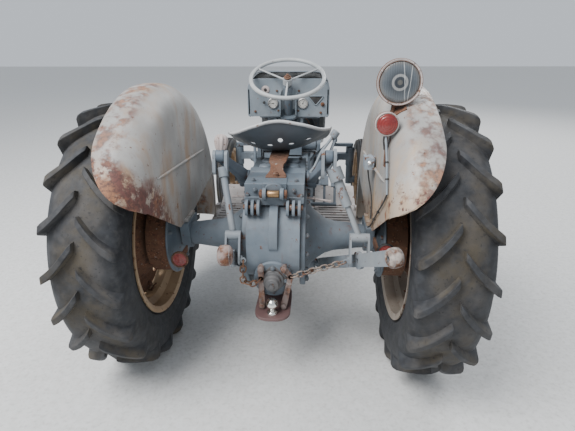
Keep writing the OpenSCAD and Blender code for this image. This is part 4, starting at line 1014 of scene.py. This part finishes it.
# %% [markdown]
# ## Power take-off, hanger and tow ball
# Below the housing's bulge a square flange, set on its corner, carries the round cap of the power
# take-off. Two slanted straps hang from its studs and hold the tow plate, which is dull maroon under a
# ball of bright chrome. Five finishes meet here, so the one CAD node becomes five pieces.

# %% Power take-off cap
PTO = Vector((0, -264, -95))
PTO_CAP = [(47, 0), (47, 7), (43, 10), (38, 11), (37, 13), (37, 30), (35, 33), (32, 34), (31, 36), (29, 48),
           (25, 52), (19, 53), (17, 55), (5, 56)]
diamond = rounded([(0, PTO.z + 72), (72, PTO.z), (0, PTO.z - 72), (-72, PTO.z)], 14)
pto = [slab(diamond, "y", -264, -252), lathe(PTO_CAP, 48, PTO, BACK),
       lathe([(13, 0), (12, 15), (9, 17)], 4, (0, -316, PTO.z), BACK, 0.4)]
piece("pto_cap", pto, iron_paint, bevel=1.5, smooth=40)

# %% Hanger straps
HANGER_Y = -275
STUDS = ((48, -37), (46, -214))
HANGER = {LEFT: (-48.9, -82.6), RIGHT: (75.8, -71.5)}
straps = []
for s in (LEFT, RIGHT):
    eye = Vector(HANGER[s])
    for x, z in STUDS:
        stud = Vector((s * x, z))
        way = (stud - eye).normalized()
        side = Vector((-way.y, way.x))
        ends = [eye - way * 11 + side * 11, eye - way * 11 - side * 11,
                stud + way * 15 - side * 14, stud + way * 15 + side * 14]
        straps.append(slab(rounded([tuple(corner) for corner in ends], 11), "y", HANGER_Y - 3, HANGER_Y + 3))
        straps.append(lathe([(13, 0), (13, 8), (11, 12), (5, 14)], 24, (s * x, HANGER_Y - 3, z), BACK))
        straps.append(lathe([(12, -23), (12, 8)], 20, (s * x, HANGER_Y, z), BACK))
piece("hanger_straps", straps, strap_paint, bevel=1.2, smooth=40)

# %% Tow plate, ball and bolts
plate = rounded([(-76, -358), (76, -358), (75, -76), (-75, -76)], 72, 10)
tow_plate = piece("tow_plate", [slab(plate, "z", -240, -226)], tow_paint, bevel=2.5)
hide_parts("drawbar")
BALL_ROWS = [(22, -226), (22, -218), (19, -215), (12, -212), (12, -204), (14, -201)]
BALL_ROWS += [(25 * math.cos(a), -180 + 25 * math.sin(a)) for a in np.linspace(-0.97, 1.5, 16)]
piece("tow_ball", [lathe(BALL_ROWS, 48, (0, -315, 0))], bright_chrome, smooth=50)
FLANGE = ((0, 0, 56), (0, 0, -56), (56, 0, 0), (-56, 0, 0))
tow_bolts = [bolt(PTO + Vector(corner), BACK, 17) for corner in FLANGE]
tow_bolts += [bolt((x, y, -226), UP, 20) for x in (-50, 50) for y in (-170, -120)]
piece("tow_bolts", tow_bolts, bolt_paint, smooth=30)

# %% [markdown]
# ## Footrests
# On each side of the gearbox lies a footrest of pressed sheet, ribbed so that boots don't slip. Boots
# have worn its paint down to a pale grey. Its front part bends up to stop the feet.

# %% Footrests
FOOT_LINE = [(482, -139), (486, -134), (800, -134), (828, -128), (975, -66), (980, -66), (980, -70),
             (828, -133), (800, -139)]
footrest_parts, rib_parts = [], []
for s in (LEFT, RIGHT):
    parts = [slab(FOOT_LINE, "x", 176, 436), block((425, 450), (684, 728), (-160, -112))]
    parts += [block((126, 430), (y - 15, y + 15), (-160, -139)) for y in (745, 950)]
    footrest_parts += [mirrored(part, s) for part in parts]
    for y in range(520, 790, 42):
        bar = [(205, y - 5), (405, y - 5), (410, y), (405, y + 5), (205, y + 5), (200, y)]
        rib_parts.append(mirrored(slab(bar, "z", -136, -129), s))
footrests = piece("footrest_sheets", footrest_parts, footrest_paint, bevel=1.5)
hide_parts("footrests")
piece("footrest_ribs", rib_parts, footrest_paint, bevel=2.0)

# %% [markdown]
# ## Check chains
# Each lower link is held from swinging by a short chain to the hanger. The left one hangs slack and is
# rusty, the right one is pulled straight and rubbed bright. Links follow each other turned by a
# quarter, each a wire bent to a stadium. The far end hooks into an eye over the lower link, which moves,
# and the near end stays at the hanger; the chain itself rides no body.

# %% One chain link
LINK_END = {LEFT: Vector((-119.1, -279.4, 2.8)), RIGHT: Vector((302.7, -256.6, -4.5))}
CLIMB = {LEFT: (-40, -32, 24, 80, 92, 97, 94), RIGHT: (16.4,) * 9}
WIRE, INNER, BEND = 6.5, 26.0, 8.5
HALF = (INNER / 2 + WIRE / 2, INNER / 2 - BEND)


def heading(degrees):
    """The way that climbs by so many degrees, as level and upright share."""
    return Vector((math.cos(math.radians(degrees)), math.sin(math.radians(degrees))))


def link_loop(middle, along, side):
    """A wire bent to a stadium, longer along than across."""
    radius = BEND + WIRE / 2
    path = []
    for end in (1, -1):
        for a in np.linspace(-math.pi / 2, math.pi / 2, 10):
            step = along * (radius * math.cos(a) + HALF[1]) + side * radius * math.sin(a)
            path.append(middle + step * end)
    return tube(path, WIRE / 2, 8, ring=True)


# %% Both check chains
for side, name in SIDES:
    climb = CLIMB[side]
    middles = [HALF[0] * heading(climb[0])]
    for i, (last, now) in enumerate(zip(climb, climb[1:])):
        hook = (BEND - WIRE / 2 - 0.4) * heading((last + now) / 2)
        middles.append(middles[-1] + HALF[i % 2] * heading(last) + hook + HALF[(i + 1) % 2] * heading(now))
    span = middles[-1] + HALF[0] * heading(climb[-1])
    end = LINK_END[side]
    way = Vector((end.x - side * 74, end.y - HANGER_Y, 0)).normalized()
    across = Vector((-way.y, way.x, 0))
    links = []
    for i, (degrees, spot) in enumerate(zip(climb, middles)):
        middle = end - way * (span.x - spot.x) - Vector((0, 0, span.y - spot.y))
        along = way * heading(degrees).x + Vector((0, 0, heading(degrees).y))
        links.append(link_loop(middle, along, along.cross(across) if i % 2 else across))
    chain = piece("check_chain_" + name, links, chain_rust if side == LEFT else chain_bright, None, smooth=60)
    start = end - way * span.x - Vector((0, 0, span.y))
    body_with("lower_link_" + name)
    tuple(start * MM + AXLE)
    tuple(end * MM + AXLE)
    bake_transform(chain)
    if side == LEFT:
        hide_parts("check_chains")
    print(chain.name, "links:", len(links))

# %% Ball ends of the lower links
BALL = [(11.6, -26), (22, -26), (31, -21), (36, -15), (37.6, 0), (36, 15), (31, 21), (22, 26), (11.6, 26)]
for name, at, sway, metal in (("left", (-140.6, -518.6, 144.3), 5.5, ball_brown),
                              ("right", (451.3, -481.8, 132.6), 21.3, ball_pale)):
    ball = lathe(BALL, 44, at, (math.cos(math.radians(sway)), math.sin(math.radians(sway)), 0), closed=True)
    piece("link_ball_" + name, [ball], metal, body_with("lower_link_" + name), smooth=60)

# %% [markdown]
# ## Lamps
# The work lamp has a domed front glass. A dark reflector, a bright ring round the bulb and two pale
# cracks show through it. The room behind the glass is only a few millimetres deep here, so the shader
# draws those rings from the distance to the lamp's own axis, as a glossy coat over a dark bowl: the
# bowl's dark middle is painted shade and the bright ring is a painted reflection.

# %% Recipe for the work lamp's glass
WORK = Vector((457, -250, 705))
TAIL = Vector((411, -340, 574))


def lamp_glass(centre, reach):
    """A painted reflector (its dark middle is painted shade, its bright ring a painted reflection), a bulb
    and two cracks round a lamp's own axis, seen through a dusty ribbed glass.
    """
    def recipe(place, shade_and_dirt_mask):
        local = place.vector("SUBTRACT", tuple(centre))
        radius = local.vector("MULTIPLY", (1, 0, 1)).vector("LENGTH", output=1) / reach
        side = local.axis("X") / reach
        wobble = place.noise(16, 4) - 0.5
        # Painted shade: the reflector bowl is drawn dark in the middle and lighter toward the rim.
        colour = radius.ramp(0.15, 0.95).paint(rgb(0.030, 0.036, 0.044), rgb(0.105, 0.122, 0.138))
        # Painted reflection: the pale ring round the bulb; the bulb, the cracks and the edge dust are the
        # lamp's own.
        ring = radius.ramp(0.26, 0.30) * (1 - radius.ramp(0.38, 0.43))
        bulb = 1 - radius.ramp(0.10, 0.15)
        crack = 0.0
        for spot, lean in ((0.22, 0.10), (0.50, -0.06)):
            line = side - spot + wobble * 0.14 + local.axis("Z") / reach * lean
            crack = 1 - line.math("ABSOLUTE", line).ramp(0.008, 0.022) + crack
        dirt = (radius.ramp(0.78, 0.98) * 0.8 + place.noise(40, 5).ramp(0.5, 0.8) * 0.35).held()
        for mask, share, tone in ((ring, 0.75, (0.36, 0.36, 0.35)), (bulb, 0.6, (0.16, 0.15, 0.13)),
                                  (crack, 0.75, (0.62, 0.63, 0.62)), (dirt, 0.55, (0.17, 0.14, 0.11))):
            colour = (mask * share).paint(colour, rgb(*tone))
        ribs = side.math("SINE", side * 55.0)
        return {"Base_Color": colour, "Roughness": (0.07 + dirt * 0.4).held(),
                "height": ribs * 0.5 + place.noise(60, 3) * 0.3, "depth": 0.0006}
    return recipe


glass = finish("lamp_glass", lamp_glass(WORK * MM + AXLE, 0.070), Coat_Weight=0.6, Coat_Roughness=0.05)
red_lens = finish("red_lens", tinted(rgb(0.17, 0.012, 0.012), rgb(0.26, 0.030, 0.024), 0.16), Coat_Weight=0.5)

# %% One domed glass
def domed(radius, rise, steps=8, rim=2.0):
    """A shallow dome on a short rim."""
    angles = np.arange(1, steps + 1) * math.pi / 2 / steps
    rows = [(max(radius * math.cos(a), 0.4), rise * math.sin(a)) for a in angles]
    return turn([(radius, -rim), (radius, 0.0)] + rows, 64)


# %% Work lamp
RIM_ROWS = [(79.2, 12), (79.8, 9), (79.9, 3), (79.2, -1.5), (77.5, -3.0), (73.0, -2.2), (70.6, 0.5),
            (70.6, 6), (78, 12)]
piece("work_lamp_glass", [placed(domed(70.4, 9), WORK + Vector((0, -10, 0)), BACK)], glass, smooth=60)
rim = [lathe(RIM_ROWS, 72, WORK + Vector((0, -12, 0)), (0, 1, 0), closed=True)]
for a in (0.6, 2.6, 4.7):
    screw = WORK + Vector((75 * math.cos(a), -14, 75 * math.sin(a)))
    rim.append(lathe([(3.4, 0), (3.4, 3), (2.4, 4.4)], 12, screw, BACK))
piece("work_lamp_rim", rim, lamp_rim, smooth=50)

# %% [markdown]
# The red lenses are pressed glass with rings that spread the light. The tail lamp sits in a thin
# pale rim. Of the two reflectors low on the axle, the left one has a rusty cup, the right one a black one.

# %% Tail lamp and reflectors
def ringed(radius, rise, rings=4):
    """A dome whose surface carries fine rings."""
    rows = [(radius, -2.0), (radius, 0.0)]
    for share in np.arange(1, rings * 6 + 1) / (rings * 6):
        wave = 0.8 * math.sin(2 * math.pi * rings * share) * (1 - share)
        rows.append((max(radius * (1 - share), 0.4), rise * math.sin(share * math.pi / 2) + wave))
    return turn(rows, 56)


TAIL_RIM = [(41, 9), (42, 6), (41.5, 0), (39, -2.5), (35.6, -1), (35.6, 6)]
CUP = [(36.5, 10), (38, 6), (37.5, -2), (34, -4), (31.3, -1.5), (31.3, 3)]
piece("tail_lens", [placed(ringed(35.2, 9), TAIL + Vector((0, -11.8, 0)), BACK)], red_lens, smooth=60)
tail_rim = lathe(TAIL_RIM, 56, TAIL + Vector((0, -8, 0)), (0, 1, 0), closed=True)
piece("tail_rim", [tail_rim], lamp_rim, smooth=50)
for name, x, z, metal in (("left", -411, -40, steel_rust), ("right", 472, 20, black_rubber)):
    spot = Vector((x, -208.3, z))
    piece("reflector_" + name, [placed(ringed(31, 4, 5), spot, BACK)], red_lens, smooth=60)
    piece("reflector_cup_" + name, [lathe(CUP, 48, spot, (0, 1, 0), closed=True)], metal, smooth=50)

# %% [markdown]
# ## Instrument panel
# The panel is one pressed sheet with soft corners. It is open below, where the steering column comes
# through between two brackets. Two small white gauges flank the column, with a switch on a pale plate
# above, a funnel-shaped pocket and a few knobs; the pocket's shaded inside is a flat black sheet, which
# is painted shade. Dials stay blank, with only needle and ticks.

# %% Panel sheet and cowl
PANEL_Y, PANEL_LOW = 885.0, 411.0
COLUMN_HEAD = 545.0
BONNET_TOP = 678.0
BRACKET = [(PANEL_Y - 32, 425), (PANEL_Y, PANEL_LOW), (PANEL_Y, 570), (PANEL_Y - 26, 548)]


def panel_outline(low, half, top, high_round, low_round):
    """The right half of a panel's outline in x and z, from its lower corner up to its upper one."""
    outline = []
    for radius, z, start in ((low_round, low + low_round, -90), (high_round, top - high_round, 0)):
        for a in np.radians(start + np.linspace(0, 90, 9)):
            outline.append((half - radius + radius * math.cos(a), z + radius * math.sin(a)))
    return outline


right_half = panel_outline(PANEL_LOW, 249, 634, 60, 14)
outside = right_half + [(-x, z) for x, z in right_half[::-1]]
opening = [(44 * math.cos(a), COLUMN_HEAD + 44 * math.sin(a)) for a in np.linspace(0, math.pi, 13)]
opening = [(44, PANEL_LOW)] + opening + [(-44, PANEL_LOW)]
panel_shapes = [slab(outside + opening[::-1], "y", PANEL_Y, PANEL_Y + 5),
                tube([Vector((x, PANEL_Y + 4, z)) for x, z in outside], 4.5, 10)]
cowl = panel_outline(404, 250, BONNET_TOP, 90, 20) + [(0, BONNET_TOP), (0, BONNET_TOP - 4)]
cowl += panel_outline(404, 246, BONNET_TOP - 4, 86, 20)[::-1]
for s in (LEFT, RIGHT):
    parts = (slab(BRACKET, "x", 46, 51), block((76, 90), (906, 930), (290.3, 431)),
             block((240, 249), (PANEL_Y, 926), (425, 574)), slab(cowl, "y", 922, 1003))
    panel_shapes += [mirrored(part, s) for part in parts]
panel = piece("dash_panel", panel_shapes, sheet, smooth=40)
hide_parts("dash")

# %% Gauges
BEZEL = [(31, 8), (33.5, 2), (32, -3), (28, -4.5), (25.4, -2), (25.2, 4)]
dial_white = finish("dial_white", tinted(rgb(0.50, 0.50, 0.47), rgb(0.60, 0.59, 0.55), 0.3), Coat_Weight=0.5)
bezels, dials, black = [], [], []
for needle, x in ((3.2, -94), (1.2, 90)):
    spot = Vector((x, PANEL_Y - 6, 492))
    bezels.append(lathe(BEZEL, 48, spot, (0, 1, 0), closed=True))
    dials.append(placed(domed(25.4, 1.5, 3, 1.0), spot + Vector((0, 2.0, 0)), BACK))
    for a in np.radians(-40 + 32.5 * np.arange(9)):
        way = Vector((math.cos(a), 0, math.sin(a)))
        tick = spot + Vector((0, -0.4, 0))
        black.append(tube([tick + way * 17, tick + way * 22], 0.8, 6))
    lean = Vector((math.cos(needle), 0, math.sin(needle)))
    hub = spot + Vector((0, -1.2, 0))
    black.append(tube([hub - lean * 5, hub + lean * 19], [1.4, 0.5], 6))
    black.append(lathe([(3.4, 0), (2.8, 3)], 16, spot + Vector((0, 0.4, 0)), BACK))
piece("gauge_bezels", bezels, chrome, smooth=50)
piece("gauge_dials", dials, dial_white, smooth=60)

# %% Switch, knobs, pocket and bolts
SWITCH = Vector((-140, PANEL_Y, 572))
switch_plate = lathe([(24, 0), (25, -2), (22, -5), (10, -6), (8, -3)], 40, SWITCH, (0, 1, 0))
piece("switch_plate", [switch_plate], lamp_rim, smooth=50)
black.append(lathe([(8, 5), (8, 9), (3, 10)], 24, SWITCH, BACK))
for x, z, r in ((-149, 498, 8), (-46, 428, 6), (46, 428, 6)):
    rows = [(r * 0.5, 0), (r * 0.55, 6), (r, 9), (r * 1.04, 16), (r * 0.8, 20), (0.5, 21)]
    black.append(lathe(rows, 28, (x, PANEL_Y - 1, z), BACK))
pocket = rounded([(121, 536), (170, 478), (219, 536)], 12)
# Painted shade: the pocket's shaded inside is a thin black sheet level with the panel.
black.append(slab(pocket, "y", PANEL_Y - 1.2, PANEL_Y + 1))
piece("panel_knobs", black, black_rubber, bevel=0.5, smooth=50)
pocket_rim = tube([Vector((x, PANEL_Y - 2.5, z)) for x, z in pocket], 3.4, 10, ring=True)
piece("pocket_rim", [pocket_rim], sheet, smooth=60)
PANEL_BOLTS = ((-206, 441, 13), (201, 436, 13), (212, 487, 20), (-62, 448, 10), (62, 448, 10), (-70, 566, 11),
               (66, 566, 11))
panel_bolts = [bolt((x, PANEL_Y, z), BACK, size) for x, z, size in PANEL_BOLTS]
piece("panel_bolts", panel_bolts, steel_rust, smooth=30)

# %% [markdown]
# The steering wheel is already a clean ring in the CAD. It lacks only the big nut that holds it on the
# column, so that is added on the axis of the column, and turns with the wheel.

# %% Steering wheel nut
TILT = math.radians(26)
COLUMN_UP = Vector((0, -math.sin(TILT), math.cos(TILT)))
WHEEL = Vector((0, 814, 647))
NUT_ROWS = [([(15, 6), (15, 15), (12, 17)], 6), ([(8, 12), (8, 22), (6, 24)], 16),
            ([(21, 0), (23, 4), (20, 8), (14, 9)], 32)]
wheel_nut = [lathe(rows, count, WHEEL, COLUMN_UP) for rows, count in NUT_ROWS]
piece("steering_nut", wheel_nut, steel_rust, "steering_wheel")

# %% [markdown]
# ## Wires, pipes and a conduit
# A thin grey conduit runs from the tail lamp down the inner plate of the right fender, and a dark
# cable follows the plate to the axle, held by clips. On the engine, plug leads, two pipes and a fan belt
# fill the open bay. All of them are tubes through a few points, and most of those are soft curves.

# %% Conduit and cable on the right fender
IN = 417.0
conduit = [(411, -336, 536), (412, -360, 500), (IN - 4, -392, 452), (IN - 4, -420, 400), (IN - 4, -444, 352)]
cable = [conduit[-1], (IN - 3, -380, 300), (IN - 4, -280, 226), (IN - 3, -190, 160), (IN - 4, -120, 104),
         (IN - 12, -96, 84)]
lead = [(457, -192, 690), (450, -200, 640), (434, -240, 560), (IN - 6, -300, 520), (IN - 5, -322, 480)]
switch_lead = [(392, -60, 344), (398, -64, 300), (IN - 5, -90, 220), (IN - 4, -110, 130)]
CLIPS = ((conduit[2], (0, -0.4, -0.9)), (conduit[3], (0, -0.4, -0.9)), ((IN - 3, -280, 226), (0, 0.8, -0.6)),
         (cable[3], (0, 0.8, -0.6)))
wires = [tube(smooth_path(path), 3.2, 10) for path in (cable, lead, switch_lead)]
wires += [lathe([(6.0, -3), (6.6, 0), (6.0, 3)], 14, at, way) for at, way in CLIPS]
piece("conduit", [tube(smooth_path(conduit), 4.2, 12)], sheet, smooth=60)
piece("lamp_cables", wires, black_rubber, smooth=60)
TOGGLE = [(9, 0), (9, 5), (5, 7), (3.2, 8), (3.0, 22), (4.4, 25), (1, 28)]
piece("switch_toggle", [lathe(TOGGLE, 20, (394, -96, 372), (0, -1, 0.2))], chrome, smooth=50)

# %% Engine leads and pipes
FLYWHEEL_Y, BORE_STEP = 1000.0, 107.5
leads = []
for k in range(4):
    y = FLYWHEEL_Y + 45 + (k + 0.5) * BORE_STEP
    bend = (-152, (y + FLYWHEEL_Y + 150) / 2, 268)
    leads.append(smooth_path([(-127, y, 241), (-150, y, 262), bend, (-140, FLYWHEEL_Y + 150 + 8 * k, 190)]))
piece("plug_leads", [tube(path, 3.4, 10) for path in leads], black_rubber, smooth=60)
FUEL_PIPE = [(60, 1200, 380), (120, 1215, 330), (150, 1220, 230), (190, 1230, 132)]
OIL_PIPE = [(-165, 1130, 92), (-150, 1150, 130), (-118, 1170, 140)]
pipes = [tube(smooth_path(path), 4.0, 10) for path in (FUEL_PIPE, OIL_PIPE)]
piece("engine_pipes", pipes, steel_rust, smooth=60)

# %% Fan belt
PULLEYS = [(0.0, 190.0, 57.0), (0.0, -90.0, 58.0), (-180.0, 90.0, 44.0)]
loop = []
for x, z, r in PULLEYS:
    ways = [math.atan2(z - other[1], x - other[0]) for other in PULLEYS if other != (x, z, r)]
    middle = math.atan2(sum(map(math.sin, ways)), sum(map(math.cos, ways)))
    spread = math.acos(math.cos(ways[0] - ways[1])) / 2 * 0.882
    loop += [(x + r * math.cos(a), FLYWHEEL_Y + 533, z + r * math.sin(a))
             for a in np.linspace(middle - spread, middle + spread, 14)]
centre = np.mean(loop, axis=0)
loop.sort(key=lambda p: math.atan2(p[2] - centre[2], p[0] - centre[0]))
piece("fan_belt", [tube(loop + loop[:2], 5.0, 8)], black_rubber, smooth=60)

# %% [markdown]
# ## Wheels
# Six bolts hold each rear rim to its disc, and eight nuts hold the disc to the hub. The valve stem pokes
# through the rim. These turn with the wheel, so they ride its body, as do the nuts of the front wheels.

# %% Wheel nuts and valves
FRONT = Vector((0, 1778, -255))
for s, name in SIDES:
    nuts = bolt_ring(s * 574, s, 92, 8, 24) + bolt_ring(s * 664, s, 290, 6, 26, math.pi / 2)
    nuts += bolt_ring(s * 656, -s, 290, 6, 24, math.pi / 2)
    nuts.append(tube([(s * 640, 0, -322), (s * 630, 0, -300), (s * 616, 0, -286)], [5.5, 4.5, 4.0], 12))
    piece("wheel_nuts_" + name, nuts, steel_rust, body_with("rear_disc_" + name), smooth=30)
    front = [bolt((s * 571, FRONT.y + 58 * math.cos(a), FRONT.z + 58 * math.sin(a)), (s, 0, 0), 17)
             for a in full_turn(6)]
    piece("front_nuts_" + name, front, steel_rust, body_with("front_wheel_" + name), smooth=30)

# %% [markdown]
# ## Lift linkage
# The right lift rod is the adjustable one: a crank on its top gear box screws it longer or shorter.
# It is a bent rod, so it is a tube along a path, and it turns with the rod that carries it.

# %% Levelling crank
crank = [tube([(246, -100, 492), (196, -106, 424), (170, -112, 366)], 6.0, 12),
         tube([(170, -112, 366), (160, -130, 352), (150, -160, 350)], 5.5, 12),
         lathe([(15, -14), (17, -8), (17, 8), (15, 14)], 24, (246, -100, 492), (0.5, 0, 0.8))]
piece("levelling_crank", crank, link_paint, body_with("lift_rod_right"), smooth=45)

# %% [markdown]
# ## Camera, floor and light
# The photo was taken standing behind the tractor, a little to the right and looking down. The place, the
# turn and the focal length were fitted to points that can be seen in it. The object stands on a plain
# pale floor under a broad soft light, like an overcast day.

# %% Camera
YAW, PITCH, ROLL = -0.0608, 0.3751, -0.0033
camera = new_object("camera", bpy.data.cameras.new("camera"))
camera.data.lens = 27.125
camera.data.sensor_width = 36.0
camera.data.clip_start = 0.05
camera.location = AXLE + Vector((0.160, -1.860, 0.828))
level_right = Vector((math.cos(YAW), -math.sin(YAW), 0))
level_front = Vector((math.sin(YAW), math.cos(YAW), 0))
look = level_front * math.cos(PITCH) - Vector((0, 0, math.sin(PITCH)))
upright = Vector((0, 0, math.cos(PITCH))) + level_front * math.sin(PITCH)
across = level_right * math.cos(ROLL) + upright * math.sin(ROLL)
above = upright * math.cos(ROLL) - level_right * math.sin(ROLL)
camera.rotation_mode = "QUATERNION"
camera.rotation_quaternion = Matrix((across, above, -look)).transposed().to_quaternion()
bpy.context.scene.camera = camera
print("camera height:", round(camera.location.z, 3))

# %% Floor and light
floor_mesh = bpy.data.meshes.new("floor")
floor_mesh.from_pydata([(-30, -30, 0), (30, -30, 0), (30, 30, 0), (-30, 30, 0)], [], [(0, 1, 2, 3)])
floor = new_object("floor", floor_mesh)
# The floor's finish darkens it in the hollows next to the tyres: a painted contact shadow.
floor_mesh.materials.append(finish("floor", tinted(rgb(0.66, 0.66, 0.645), rgb(0.71, 0.71, 0.70), 0.8)))
world = bpy.data.worlds.new("sky")
bpy.context.scene.world = world
world.use_nodes = True
sky = world.node_tree.nodes["Background"]
sky.inputs["Color"].default_value = rgb(0.86, 0.92, 1.0)
sky.inputs["Strength"].default_value = 0.75
LAMPS = (("sky_light", (-2.4, -3.2, 5.2), 520, 3.2), ("rim_light", (3.5, 5.0, 5.5), 330, 4.0))
for name, at, power, size in LAMPS:
    lamp = new_object(name, bpy.data.lights.new(name, "AREA"))
    lamp.data.energy = power
    lamp.data.size = size
    lamp.location = at
    lamp.rotation_mode = "QUATERNION"
    lamp.rotation_quaternion = (Vector((0, 0, 0.5)) - lamp.location).to_track_quat("-Z", "Y")
    print(name, "at", at)
